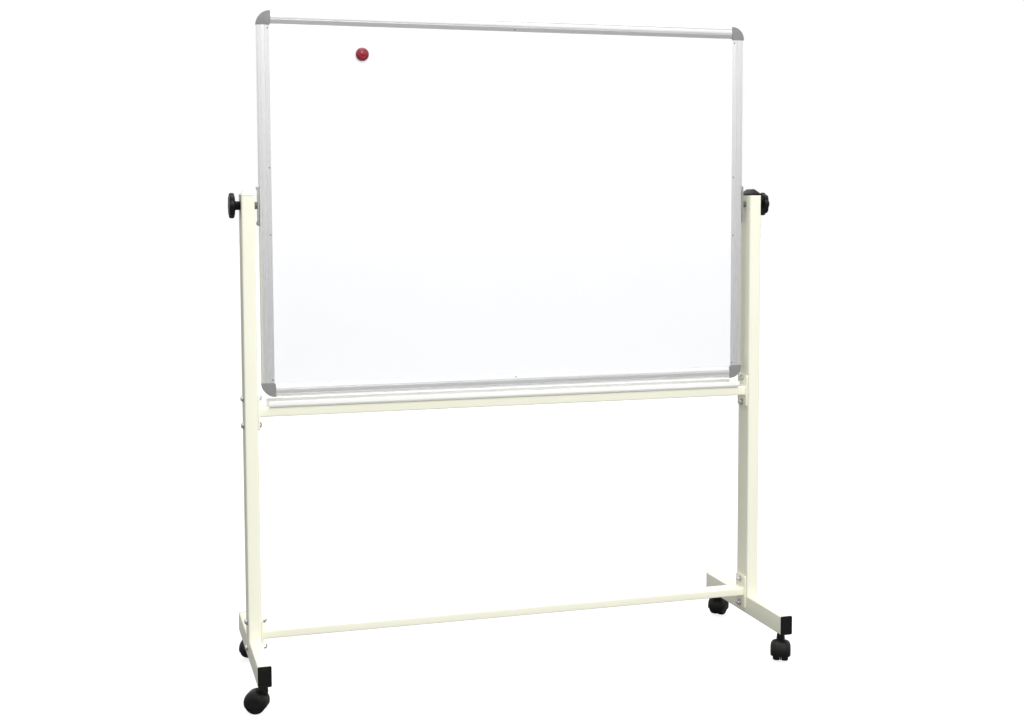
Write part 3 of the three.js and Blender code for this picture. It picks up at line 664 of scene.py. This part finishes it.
def add_corner_cap(vertical, side):
    """L-shaped cap with a round outer corner, hollowed inside the thickness for the panel."""
    arm, outer_radius, inner_radius = 31.5, 30.0, 3.2
    half_depth = 10.5
    pocket_from, pocket_to, pocket_half_depth = 16.2, 60, 6.6
    edge_x, inward_x = EDGE[side]
    edge_z, inward_z = EDGE[vertical]

    def corner_slab(points, half):
        outline = [(edge_x + inward_x * a, edge_z + inward_z * b) for a, b in points]
        return slab(outline, "Y", (MID_Y - half) * MM, (MID_Y + half) * MM)

    points = [(arm, 0)]
    for i in range(25):
        angle = math.pi / 2 * i / 24
        points.append((outer_radius - outer_radius * math.sin(angle),
                       outer_radius - outer_radius * math.cos(angle)))
    points += [(0, arm), (FACE, arm)]
    for i in range(7):
        angle = math.pi / 2 * i / 6
        points.append((FACE + inner_radius - inner_radius * math.cos(angle),
                       FACE + inner_radius - inner_radius * math.sin(angle)))
    points.append((arm, FACE))
    cap = build(f"cap_{vertical}_{side}", corner_slab(points, half_depth))
    bevel(cap, width=1.5, segments=4, angle=40)
    a, b = pocket_from, pocket_to
    cut(cap, corner_slab([(a, a), (b, a), (b, b), (a, b)], pocket_half_depth))
    piece(cap, "board", GREY, f"corner_cap_{vertical}_{side}")


def add_rivets():
    """Small domed rivets square to the sloping inner part of the profile's front."""
    inset, sink, slope = 24.6, 1.62, 0.27
    # radius, height
    head = [(0, -0.6), (1.75, -0.6), (1.9, 0.1), (1.6, 0.45), (0.95, 0.7), (0.5, 0.62), (0, 0.58)]
    heights = {"left": (711.0, 1043.0, 1195.0, 1508.0), "right": (711.0, 1031.0, 1176.0, 1508.0)}

    def rivet(x, z, facing):
        return revolve(head, 20, facing, (x * MM, (MID_Y - HALF_DEPTH + sink) * MM, z * MM))

    heads = []
    for side, zs in heights.items():
        edge, inward = EDGE[side]
        heads += [rivet(edge + inward * inset, z, (inward * slope, -1, 0)) for z in zs]
    for side in ("top", "bottom"):
        edge, inward = EDGE[side]
        heads.append(rivet(MID_X + 6.0, edge + inward * inset, (0, -1, inward * slope)))
    piece(build("panel_rivets", join_parts(heads)), "board", RIVET_STEEL)


# in from the magnet's rim, height off the board
MAGNET_OUTLINE = [
    (0.9, 0.0), (0.35, 0.25), (0.05, 1.0), (0, 2.4), (0.25, 3.8), (1.0, 5.2), (2.2, 6.3),
    (3.6, 7.1), (5.2, 7.75), (6.4, 8.2), (7.2, 8.25), (7.6, 8.05), (8.2, 8.05), (8.8, 8.35),
    (11, 8.85), (13.5, 9.12),
]


def add_magnet():
    """Round magnet with a stepped dome."""
    _, high, middle, size = measure("magnet_red")
    radius = size[0] / 2
    outline = [(radius - inset, height) for inset, height in MAGNET_OUTLINE]
    part = revolve([(0, 0.0)] + outline + [(0, 9.2)], 72, (0, -1, 0),
                   (middle.x, high.y, middle.z))
    piece(build("magnet", part, 40), "magnet", RED, "magnet_red")


paint("panel_core", FIBRE)
for sheet in ("writing_sheet_front", "writing_sheet_rear"):
    paint(sheet, ENAMEL)
SECTION = profile_section()
for side in ("left", "right", "top", "bottom"):
    add_profile(side, SECTION)
for vertical in ("top", "bottom"):
    for side in ("left", "right"):
        add_corner_cap(vertical, side)
add_rivets()
add_magnet()

# ------------------------------------------------------------------ pivots
GAP = 0.3  # clearance between stacked parts
PLATE_THICK = 3.0


def add_pivot_plate(side, sign):
    """Plate against the frame with a threaded stud welded to it."""
    node = f"pivot_plate_{side}"
    near, far = inner_outer(node, sign)
    size = measure(node)[3]
    foot = (near, MID_Y * MM, PIVOT_Z * MM)
    outline = shifted(round_rect(size[1], size[2], 4.5, 8), MID_Y, PIVOT_Z)
    face = near + sign * PLATE_THICK * MM
    plate = build("plate", slab(outline, "X", min(near, face), max(near, face)))
    bevel(plate, width=0.5, segments=2, angle=50)

    length = abs(far - near) / MM
    radius, root, pitch = 4.9, 4.35, 1.5
    outline = [(0, 1.0), (radius, 1.0), (radius, 30.0)]
    at = 30.0
    while at < length - 3.0:  # thread on the free end
        outline += [(radius, at + 0.15), (root, at + 0.7), (root, at + 0.85), (radius, at + 1.4)]
        at += pitch
    outline += [(4.2, length - 0.7), (3.6, length), (0, length)]
    stud = build("stud", revolve(outline, 28, (sign, 0, 0), foot))

    outline = [(4.7, 2.8), (6.4, 2.9), (6.6, 3.05), (5.6, 3.7), (4.95, 4.6), (4.7, 4.6)]
    weld = build("weld", revolve(
        outline, 28, (sign, 0, 0), foot, closed=True,
        wobble=lambda k, angle: 0.12 * math.sin(9 * angle) if k in (2, 3) else 0))
    piece(merge(f"pivot_plate_with_stud_{side}", [plate, stud, weld]), "board",
          ZINC_DULL, node)


def add_frame_screw(side, sign, where):
    """Pan head screw with a cross recess, seated on the pivot plate."""
    head_radius, head_height, shank_length, shank_radius = 4.3, 2.7, 10.0, 2.0
    node = f"pivot_screw_{side}_{where}"
    middle = measure(node)[2]
    near, _ = inner_outer(f"pivot_plate_{side}", sign)
    seat = (near + sign * (PLATE_THICK + GAP) * MM, middle.y, middle.z)
    outline = [
        (0, -shank_length), (shank_radius * 0.6, -shank_length),
        (shank_radius, -shank_length + 1.4), (shank_radius, 0.0), (head_radius - 0.3, 0.0),
        (head_radius, 0.35), (head_radius, 0.9), (head_radius * 0.93, 1.6),
        (head_radius * 0.74, 2.25), (head_radius * 0.45, 2.6), (0, head_height),
    ]
    screw = build(f"frame_screw_{side}_{where}", revolve(outline, 32, (sign, 0, 0), seat))
    u, v, along = basis((sign, 0, 0))
    slots = []
    for lengthwise, across in ((u, v), (v, u)):
        rings = []
        # height over the top of the head, half length, half width of each end of the slot
        for height, half_length, half_width in ((-1.35, 1.0, 0.34), (0.25, 1.9, 0.5)):
            rings.append([
                Vector(seat) + along * ((head_height + height) * MM)
                + lengthwise * (i * half_length * MM) + across * (j * half_width * MM)
                for i, j in ((1, 1), (-1, 1), (-1, -1), (1, -1))
            ])
        slots.append(loft(rings))
    cut(screw, *slots)
    piece(screw, "board", ZINC, node)


def add_spacer(side, sign):
    node = f"pivot_spacer_{side}"
    near, _ = inner_outer(node, sign)
    width = measure(node)[3][0]
    bore = 5.4
    outline = [(bore, 0), (7.7, 0), (8.2, 0.5), (8.2, width - 1.6), (7.9, width - 1.0),
               (7.2, width), (bore, width)]
    part = revolve(outline, 40, (sign, 0, 0), (near, MID_Y * MM, PIVOT_Z * MM), closed=True)
    piece(build(f"spacer_{side}", part), "board", BUSH, node)


def add_knob(side, sign):
    """Clamping knob: hub, eight soft lobes, domed face with an inset disc."""
    lobes, flute_depth = 8, 2.7
    node = f"clamp_knob_{side}"
    near, _ = inner_outer(node, sign)
    size = measure(node)[3]
    rim = size[2] / 2  # radius over the lobes
    # radius, distance from the inner end, share of the lobing
    stations = [
        (0, 16.0, 0), (5.0, 16.0, 0), (5.2, 0.0, 0), (9.3, 0.0, 0), (10.0, 0.7, 0),
        (10.0, 8.4, 0), (10.7, 10.2, 0), (12.5, 11.4, 0), (15.5, 11.9, 0), (19.5, 12.0, 0.15),
        (23.0, 12.1, 0.6), (25.6, 12.5, 0.9), (27.2, 13.3, 1), (28.2, 14.5, 1), (rim, 16.2, 1),
        (rim, 20.6, 1), (28.25, 22.3, 1), (27.4, 23.5, 1), (26.0, 24.3, 0.95),
        (23.8, 24.7, 0.7), (20.8, 24.85, 0.35), (18.4, 24.95, 0.1), (17.4, 25.0, 0),
        (17.1, 24.8, 0), (16.8, 24.45, 0), (16.3, 24.45, 0), (15.9, 24.75, 0), (15.0, 25.05, 0),
        (12.0, 25.35, 0), (8.0, 25.6, 0), (4.0, 25.72, 0), (0, size[0], 0),
    ]

    def flutes(k, angle):
        scoop = (0.5 - 0.5 * math.cos(lobes * angle)) ** 1.6
        return -flute_depth * stations[k][2] * scoop

    part = revolve([p[:2] for p in stations], 160, (sign, 0, 0),
                   (near, MID_Y * MM, PIVOT_Z * MM), wobble=flutes)
    piece(build(f"knob_{side}", part, 50), f"knob_{side}", BLACK, node)


for side, sign in SIDES:
    add_pivot_plate(side, sign)
    for where in ("lower", "upper"):
        add_frame_screw(side, sign, where)
    add_spacer(side, sign)
for side, sign in SIDES:
    add_knob(side, sign)

# ------------------------------------------------------------------ stand
WALL = 1.5  # of the steel tubes
UPRIGHT_WIDTH = 30
FLANGE_THICK = 3.7
BAR_DEPTH = 40.0


def hollow(width, height, radius, axis, a, b, middle):
    """Rectangular steel tube from a to b (metres), about middle (mm)."""
    outer = round_rect(width, height, radius)
    inner = round_rect(width - 2 * WALL, height - 2 * WALL, max(radius - WALL, 0.8))
    return tube(shifted(outer, *middle), shifted(inner, *middle), axis, a, b)


def add_upright(side, sign):
    """Upright with a weld to the foot at its front and back."""
    node = f"upright_{side}"
    low, high, middle, size = measure(node)
    parts = [hollow(size[0], size[1], 4.0, "Z", low.z, high.z, (middle.x / MM, middle.y / MM))]
    z = low.z - GAP * MM + 0.7 * MM
    for end in (-1, 1):
        y = middle.y + end * (size[1] / 2 + 0.4) * MM
        run = [(low.x + 3.5 * MM, y, z), (high.x - 3.5 * MM, y, z)]
        parts.append(weld_bead(run, radius=1.9, segments=10, seed=end + sign))
    piece(build(f"upright_tube_{side}", join_parts(parts), 30), "stand",
          CREAM, node)


# inset, height over the rim; the heights are scaled to end at the plug's top
PLUG_DOME = [
    (0.0, 0.7), (0.12, 1.3), (0.45, 2.0), (1.1, 2.9), (2.0, 4.0), (3.1, 5.3), (4.3, 6.6),
    (5.6, 8.0), (7.0, 9.4), (8.4, 10.7), (9.8, 11.85), (11.1, 12.7), (12.3, 13.3),
    (13.3, 13.65), (14.2, 13.8),
]


def add_top_plug(side, material):
    """Plug in the top of an upright: a rim, then a dome that rises to a flat crown."""
    node = f"upright_plug_{side}"
    low, high, middle, size = measure(node)
    bottom = low.z / MM
    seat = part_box(f"upright_{side}")[1].z / MM + GAP
    rim = seat + 1.8
    rise = high.z / MM - rim
    # inset, z, corner radius
    stations = [
        (2.5, bottom + 0.6, 2.0), (2.0, bottom + 3.0, 2.4), (2.0, seat, 2.4),
        (0.35, seat, 4.0), (0.0, seat + 0.35, 4.2), (0.0, rim, 4.2),
    ]
    for inset, height in PLUG_DOME:
        radius = max(0.7, min(4.2 + 0.35 * inset, (size[0] / 2 - inset) * 0.94))
        stations.append((inset, rim + rise * height / PLUG_DOME[-1][1], radius))
    centre = (middle.x / MM, middle.y / MM)
    rings = [rect_ring("Z", size[:2], centre, inset, radius, z) for inset, z, radius in stations]
    piece(build(f"top_plug_{side}", loft(rings), 40), "stand", material, node)


def add_foot(side):
    low, high, middle, size = measure(f"foot_{side}")
    part = hollow(size[0], size[2], 3.2, "Y", low.y, high.y, (middle.x / MM, middle.z / MM))
    piece(build(f"foot_tube_{side}", part, 30), "stand", CREAM,
          f"foot_{side}")


# inset, depth behind the outer face, corner radius
END_CAP = [
    (2.6, 15.4, 1.4), (1.95, 13.5, 2.0), (1.95, 3.1, 2.0), (0.25, 3.0, 3.0), (0.0, 2.7, 3.2),
    (0.0, 1.1, 3.2), (0.25, 0.45, 3.1), (0.8, 0.1, 2.8), (1.5, 0.0, 2.4), (2.6, 0.0, 2.2),
    (3.1, 0.25, 2.0), (3.4, 1.0, 1.9), (4.2, 1.15, 1.8), (4.6, 0.95, 1.7), (5.0, 0.75, 1.6),
    (8.5, 0.6, 1.4),
]


def add_end_cap(side, end, outward):
    """Foot end cap: rounded rim, a shallow well and a slightly raised panel in it."""
    node = f"foot_cap_{end}_{side}"
    low, high, middle, size = measure(node)
    face = (low.y if outward < 0 else high.y) / MM
    centre = (middle.x / MM, middle.z / MM)
    rings = [
        rect_ring("Y", (size[0], size[2]), centre, inset, radius, face - outward * depth)
        for inset, depth, radius in END_CAP
    ]
    piece(build(f"end_cap_{end}_{side}", loft(rings), 40), "stand", BLACK, node)


def add_crossbar(name, bar_z, bar_height):
    """Crossbar tube with a flange plate welded on each end."""
    low, high, middle, size = measure(name)
    thick = FLANGE_THICK
    objects = [build("bar", hollow(
        BAR_DEPTH, bar_height, 3.2, "X", low.x + (thick - 0.4) * MM, high.x - (thick - 0.4) * MM,
        (MID_Y, bar_z)))]
    plate_z = (low.z + high.z) / 2 / MM
    for _, sign in SIDES:
        start = high.x - thick * MM if sign > 0 else low.x
        outline = shifted(round_rect(50, size[2], 5.5, 8), MID_Y, plate_z)
        plate = build("plate", slab(outline, "X", start, start + thick * MM))
        bevel(plate, width=0.6, segments=2, angle=50)
        if sign > 0:
            weld_x = high.x - thick * MM - 0.3 * MM
        else:
            weld_x = low.x + thick * MM + 0.3 * MM
        outline = round_rect(BAR_DEPTH + 1.2, bar_height + 1.2, 3.6, 3)
        run = place(shifted(outline, MID_Y, bar_z), "X", weld_x)
        weld = build("weld", weld_bead(run + [run[0]], radius=1.5, segments=8, seed=sign))
        objects += [plate, weld]
    piece(merge(name + "_welded", objects), "stand", CREAM, name)


def add_through_bolt(side, sign, group, turn):
    """Socket button head and washer outside the upright; washer and domed nut inside.

    turn: how far the nut is turned, in radians.
    """
    node = f"bolt_{group}_{side}"
    middle = measure(node)[2]
    nut_crown, _ = inner_outer(node, sign)
    outer = inner_outer(f"upright_{side}", sign)[1] + sign * GAP * MM
    seat = outer - sign * (UPRIGHT_WIDTH + 3 * GAP + FLANGE_THICK) * MM
    nut_height = abs(nut_crown - seat) / MM
    hex_height = nut_height * 0.56
    out = Vector((sign, 0, 0))

    def turned(outline, segments, axis, x, closed=False):
        return revolve(outline, segments, axis, (x, middle.y, middle.z), closed)

    def hex_prism(x_start, x_end, radius, first_angle):
        return loft([
            [Vector((x,
                     middle.y + radius * math.cos(first_angle + i * math.pi / 3) * MM,
                     middle.z + radius * math.sin(first_angle + i * math.pi / 3) * MM))
             for i in range(6)]
            for x in (x_start, x_end)
        ])

    # outlines: radius, distance along the axis
    outer_washer = build("washer", turned(
        [(4.2, 0), (8.0, 0), (8.4, 0.25), (8.4, 1.15), (8.1, 1.35), (4.2, 1.35)],
        40, out, outer, closed=True))
    head = build("head", turned(
        [(0, 1.2), (6.6, 1.2), (6.95, 1.6), (7.0, 2.2), (6.7, 3.2), (6.0, 4.3), (4.9, 5.3),
         (3.8, 6.0), (3.3, 6.25), (2.9, 6.35), (0, 6.38)], 40, out, outer))
    cut(head, hex_prism(outer + sign * 3.3 * MM, outer + sign * 8.0 * MM, 2.7, math.pi / 6))
    length = abs(outer - seat) / MM + nut_height * 0.5
    shank = build("shank", turned([(0, 0), (4.0, 0), (4.0, length), (0, length)],
                                  24, -out, outer + sign * 1.3 * MM))
    inner_washer = build("washer", turned(
        [(4.2, 0), (7.9, 0), (8.2, 0.25), (8.2, 0.95), (7.9, 1.2), (4.2, 1.2)],
        40, -out, seat, closed=True))
    nut = build("nut", hex_prism(seat - sign * 1.2 * MM, seat - sign * hex_height * MM,
                                 7.45, turn))
    # a chamfered cylinder trims the nut's corners
    chamfer = turned([(0, 1.0), (6.9, 1.0), (7.6, 1.9), (7.6, hex_height - 0.9),
                      (6.5, hex_height + 0.1), (0, hex_height + 0.1)], 48, -out, seat)
    boolean(nut, [(chamfer, SHARP)], "INTERSECT")
    dome = build("dome", turned(
        [(0, 1.2), (5.9, 1.2), (5.9, hex_height - 0.1), (5.75, nut_height * 0.68),
         (5.2, nut_height * 0.80), (4.2, nut_height * 0.90), (2.8, nut_height * 0.965),
         (1.4, nut_height * 0.992), (0, nut_height)], 40, -out, seat))
    bolt = merge(f"through_bolt_{group}_{side}",
                 [outer_washer, head, shank, inner_washer, nut, dome])
    piece(bolt, "stand", ZINC, node)


def add_pen_tray():
    """Folded sheet channel with a hemmed lip front and back."""
    low, high, _, size = measure("pen_tray")
    bottom, top = low.z / MM, high.z / MM
    front = -(size[1] / 2)
    sheet = 1.2
    # y, z, corner radius of the front half: up the outside, over the hem, down the inside
    half = [
        (front + 3.6, bottom, 3), (front + 0.3, bottom + 4.2, 1.5), (front, bottom + 5.2, 1.2),
        (front, top - 0.9, 0.9), (front + 0.9, top, 0.9), (front + 2.6, top, 0.8),
        (front + 3.4, top - 0.8, 0.6), (front + 3.4, top - 3.2, 0.3),
        (front + 2.4, top - 3.2, 0.3), (front + 2.4, top - sheet, 0.3),
        (front + sheet, top - sheet, 0.3), (front + sheet, bottom + 5.4, 0.6),
        (front + 4.3, bottom + sheet, 2.0),
    ]
    full = half + [(-y, z, radius) for y, z, radius in reversed(half)]
    outline = shifted(fillet([p[:2] for p in full], [p[2] for p in full]), MID_Y, 0)
    tray = build("pen_tray_channel", slab(outline, "X", low.x, high.x), 28)
    bevel(tray, width=0.25, segments=2, angle=60)
    piece(tray, "stand", TRAY_WHITE, "pen_tray")


for side, sign in SIDES:
    add_upright(side, sign)
    if side == "right":
        add_top_plug(side, BLACK)
    else:
        add_top_plug(side, PLUG_WHITE)
    add_foot(side)
    for end, outward in (("front", -1), ("rear", 1)):
        add_end_cap(side, end, outward)
add_crossbar("crossbar_middle", bar_z=639.0, bar_height=22.0)
add_crossbar("crossbar_lower", bar_z=122.0, bar_height=20.0)
for side, sign in SIDES:
    for k, group in enumerate(("middle_upper", "middle_lower", "lower_upper", "lower_lower")):
        add_through_bolt(side, sign, group, turn=0.35 * k + (0.2 if sign > 0 else 0.0))
add_pen_tray()

# ------------------------------------------------------------------ castors
HOOD_RADIUS = 26.5
HOOD_HALF_WIDTH = 24.5
HOOD_LIFT = 1.4  # the hood's centre over the wheel's
# radius, z
NECK = [
    (0, 34), (6.0, 34), (7.6, 37), (8.9, 41), (9.9, 45.5), (10.3, 49.0), (10.1, 52.5),
    (9.6, 56.0), (9.1, 59.2), (8.8, 60.8), (8.3, 61.4), (0, 61.4),
]
# radius, distance from the castor's middle plane, of the space for a wheel
WHEEL_SPACE = [(0, 1.5), (23.9, 1.5), (24.4, 2.1), (24.4, 14.6), (23.7, 16.6), (21.6, 18.9),
               (0, 18.9)]
RING_GROOVE = [(10.2, 23.6), (11.3, 23.6), (11.3, 30), (10.2, 30)]
STEM_HOLE = [(0, 47.2), (5.4, 47.2), (5.4, 70), (0, 70)]
# radius, distance along the axle: stub axle with a thin web between the wheels
AXLE = [
    (0, -19.6), (4.1, -19.6), (4.1, -1.85), (21.6, -1.85), (22.4, -1.1), (22.4, 1.1),
    (21.6, 1.85), (4.1, 1.85), (4.1, 19.6), (0, 19.6),
]
# offset from the hub, away from the stem, and z; the hood's edge rises towards the stem
BELOW_HOOD = [(-60, 20.0), (-24, 18.4), (-14, 16.4), (0, 15.2), (60, 15.2), (60, -30), (-60, -30)]


def add_stem(name, stem_foot):
    """Collared pin with a groove near the top; its outline is (radius, z)."""
    node = f"castor_stem_{name}"
    low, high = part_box(node)
    bottom, top = low.z / MM, high.z / MM
    outline = [
        (0, bottom), (4.6, bottom), (5.0, bottom + 0.5), (5.0, 62.2), (8.0, 62.2), (8.6, 62.7),
        (8.6, 65.2), (8.1, 65.7), (5.0, 65.7), (5.0, 76), (4.6, 76.6), (4.6, 78.4), (5.0, 79),
        (5.0, 95), (3.8, top), (0, top),
    ]
    piece(build(f"stem_{name}", revolve(outline, 36, UP, stem_foot)), "stand",
          ZINC_DULL, node)


def hood_outline():
    """Superellipse as (radius, distance along the axle), flattened on both cheeks."""
    steps, power = 26, 2 / 3.6
    outline = []
    for k in range(steps + 1):
        angle = -math.pi / 2 + math.pi * k / steps
        sine, cosine = math.sin(angle), math.cos(angle)
        radius = HOOD_RADIUS * abs(cosine) ** power if k not in (0, steps) else 0.0
        across = HOOD_HALF_WIDTH * math.copysign(abs(sine) ** power, sine)
        if 0 < radius < 13.2:
            across = math.copysign(min(abs(across), HOOD_HALF_WIDTH - 0.15), across)
        outline.append((radius, across))
    return outline


def add_hood(name, axle, hub, stem_foot):
    """Twin-wheel hood with a neck round the stem, hollowed for the wheels."""
    trail = Vector((hub.x - stem_foot.x, hub.y - stem_foot.y, 0)).normalized()
    centre = Vector((hub.x, hub.y, (hub.z / MM + HOOD_LIFT) * MM))
    hood = build(f"hood_{name}", revolve(hood_outline(), 96, axle, centre), 40)
    boolean(hood, [(revolve(NECK, 48, UP, stem_foot), SHARP)], "UNION", 40)
    tools = []
    for sign in (-1, 1):
        tools.append(revolve(WHEEL_SPACE, 96, axle * sign, hub))
        tools.append(revolve(RING_GROOVE, 64, axle * sign, hub, closed=True))
    tools.append(revolve(STEM_HOLE, 32, UP, stem_foot))
    tools.append(loft([
        [centre + axle * (across * MM) + trail * (offset * MM) - UP * (centre.z - z * MM)
         for offset, z in BELOW_HOOD]
        for across in (-60, 60)
    ]))
    cut(hood, *tools, sharp=40)
    boolean(hood, [(revolve(AXLE, 72, axle, hub), SHARP)], "UNION", 40)
    bevel(hood, width=0.7, segments=3, angle=42)
    piece(hood, f"castor_{name}", BLACK, f"castor_hood_{name}")


def add_wheel(name, which, sign, axle, hub):
    """Wheel with a rounded tread and a web recessed on both faces."""
    tread = hub.z / MM  # the wheel stands on the floor
    # radius, distance from the castor's middle plane
    outline = [
        (4.5, 2.2), (8.4, 2.2), (8.8, 2.5), (9.2, 3.6), (18.2, 3.6), (18.7, 2.6), (19.2, 2.2),
        (tread - 2.4, 2.2), (tread - 1.2, 2.5), (tread - 0.4, 3.1), (tread - 0.02, 4.0),
        (tread, 5.4), (tread, 12.6), (tread - 0.12, 14.0), (tread - 0.55, 15.4),
        (tread - 1.3, 16.6), (tread - 2.3, 17.6), (tread - 3.4, 18.2), (tread - 4.1, 18.4),
        (19.0, 18.3), (18.6, 17.2), (9.2, 17.2), (8.8, 18.2), (8.2, 18.4), (4.5, 18.4),
    ]
    part = revolve(outline, 96, axle * sign, hub, closed=True)
    piece(build(f"wheel_{which}_{name}", part, 40), f"wheels_{name}", NYLON,
          f"castor_wheel_{which}_{name}")


JOINTS = {joint["name"]: joint for joint in frame["joints"]}
for name in ("front_left", "rear_left", "front_right", "rear_right"):
    roll = JOINTS[f"castor_{name}_roll"]
    swivel = JOINTS[f"castor_{name}_swivel"]
    axle = Vector(roll["axis"]).normalized()
    hub = Vector(roll["pos_m"])
    stem_foot = Vector((swivel["pos_m"][0], swivel["pos_m"][1], 0))
    add_stem(name, stem_foot)
    add_hood(name, axle, hub, stem_foot)
    for which, sign in (("a", -1), ("b", 1)):
        add_wheel(name, which, sign, axle, hub)


# ------------------------------------------------------------------ floor
def floor_material():
    """Pale floor with an added glow that only the camera sees, so that it burns out to white."""
    mat = Surface("floor_pale", (0.28, 0.28, 0.28), rough=0.6, Specular_IOR_Level=0.15)
    grain = mat.remap(mat.noise(scale=1.2), span=(0.3, 0.7))
    mat.color(mat.mix(grain, (0.275, 0.275, 0.275), (0.285, 0.285, 0.285)))
    mat.rough(mat.remap(mat.noise(scale=40.0), span=(0.3, 0.7), to=(0.55, 0.7)))
    mat.bump(mat.noise(scale=300.0, detail=2), depth=0.02, strength=0.3)
    glow = mat.node("ShaderNodeEmission")
    glow.inputs["Color"].default_value = (1, 1, 1, 1)
    glow.inputs["Strength"].default_value = 0.82
    both = mat.node("ShaderNodeAddShader")
    ray = mat.node("ShaderNodeLightPath")
    pick = mat.node("ShaderNodeMixShader")
    plain = mat.shader.outputs[0]
    mat.link(plain, both.inputs[0])
    mat.link(glow.outputs[0], both.inputs[1])
    mat.link(ray.outputs["Is Camera Ray"], pick.inputs[0])
    mat.link(plain, pick.inputs[1])
    mat.link(both.outputs[0], pick.inputs[2])
    mat.link(pick.outputs[0], mat.tree.nodes["Material Output"].inputs["Surface"])
    return mat.material


def add_floor():
    half, z = 40.0, -0.0006  # metres; just below the wheels
    mesh = bpy.data.meshes.new("floor")
    corners = [(-half, -half, z), (half, -half, z), (half, half, z), (-half, half, z)]
    mesh.from_pydata(corners, [], [(0, 1, 2, 3)])
    floor = bpy.data.objects.new("studio_floor", mesh)
    scene.collection.objects.link(floor)
    mesh.materials.append(floor_material())


# ------------------------------------------------------------------ world, lights, camera
def add_world():
    """White to the camera, a soft gradient as light, a bright wall in reflections."""
    world = bpy.data.worlds.new("studio")
    scene.world = world
    world.use_nodes = True
    tree = world.node_tree
    tree.nodes.clear()
    new, link = tree.nodes.new, tree.links.new
    output = new("ShaderNodeOutputWorld")
    lighting = new("ShaderNodeBackground")
    backdrop = new("ShaderNodeBackground")
    pick = new("ShaderNodeMixShader")
    ray = new("ShaderNodeLightPath")
    direction = new("ShaderNodeTexCoord").outputs["Generated"]
    # light is strongest from the upper front right
    dot = new("ShaderNodeVectorMath")
    dot.operation = "DOT_PRODUCT"
    dot.inputs[1].default_value = Vector((0.52, -0.50, 0.69)).normalized()
    link(direction, dot.inputs[0])
    gradient = map_range(tree, dot.outputs["Value"], span=(-1, 1), to=(0.05, 0.90))
    # the reflected wall falls off quickly towards the horizon
    split = new("ShaderNodeSeparateXYZ")
    link(direction, split.inputs[0])
    wall = map_range(tree, split.outputs["Z"], span=(-0.02, 0.18), to=(0.62, 1.22), smooth=True)
    strength = new("ShaderNodeMix")
    strength.data_type = "FLOAT"
    link(ray.outputs["Is Glossy Ray"], strength.inputs[0])
    link(gradient, strength.inputs[2])
    link(wall, strength.inputs[3])
    link(strength.outputs[0], lighting.inputs["Strength"])
    lighting.inputs["Color"].default_value = (1, 1, 1, 1)
    backdrop.inputs["Color"].default_value = (1, 1, 1, 1)
    backdrop.inputs["Strength"].default_value = 1.0
    link(ray.outputs["Is Camera Ray"], pick.inputs["Fac"])
    link(lighting.outputs[0], pick.inputs[1])
    link(backdrop.outputs[0], pick.inputs[2])
    link(pick.outputs[0], output.inputs["Surface"])


# name, location, aim, (width, height), watts, seen in reflections
LIGHTS = [
    ("key", (-0.15, -3.9, 2.2), (0.05, 0, 0.95), (0.8, 1.1), 52, False),
    ("high", (0.0, -3.7, 3.7), (0.05, 0, 1.0), (1.2, 0.8), 34, True),
    ("side", (2.0, -3.9, 2.2), (0, 0, 0.95), (1.4, 1.4), 13, False),
    ("top", (0.2, -0.3, 4.2), (0, 0, 0.6), (3.0, 2.2), 66, True),
    ("rear", (0.9, 4.3, 2.6), (0, 0, 0.8), (2.2, 1.8), 84, False),
]


def add_light(name, location, aim, size, watts, glossy):
    light = bpy.data.lights.new(name, "AREA")
    light.shape = "RECTANGLE"
    light.size, light.size_y = size
    light.energy = watts
    obj = bpy.data.objects.new(name, light)
    obj.location = location
    toward = Vector(aim) - Vector(location)
    obj.rotation_euler = toward.to_track_quat("-Z", "Y").to_euler()
    obj.visible_glossy = glossy
    scene.collection.objects.link(obj)


def add_camera():
    """Camera in front of the board, to the left of its middle, looking right and down."""
    location = (-0.94418 + MID_X * MM, -3.16520 + MID_Y * MM, 1.10437)
    yaw, pitch, roll = (math.radians(v) for v in (16.413, -4.115, -0.21))
    camera = bpy.data.cameras.new("camera")
    camera.sensor_fit = "HORIZONTAL"
    camera.sensor_width = 36.0
    camera.lens = 48.4083984
    camera.shift_x = 0.0042
    camera.shift_y = -0.0542
    camera.clip_start, camera.clip_end = 0.05, 200
    obj = bpy.data.objects.new("camera", camera)
    scene.collection.objects.link(obj)
    forward = Vector((math.sin(yaw) * math.cos(pitch), math.cos(yaw) * math.cos(pitch),
                      math.sin(pitch)))
    level = Vector((math.cos(yaw), -math.sin(yaw), 0))
    above = level.cross(forward)
    right = level * math.cos(roll) + above * math.sin(roll)
    top = -level * math.sin(roll) + above * math.cos(roll)
    rotation = Matrix((right, top, -forward)).transposed()
    obj.matrix_world = Matrix.Translation(location) @ rotation.to_4x4()
    scene.camera = obj


add_floor()
add_world()
for light in LIGHTS:
    add_light(*light)
scene.view_settings.view_transform = "Standard"
scene.view_settings.look = "None"
scene.view_settings.exposure = 0.0
scene.view_settings.gamma = 1.0
add_camera()
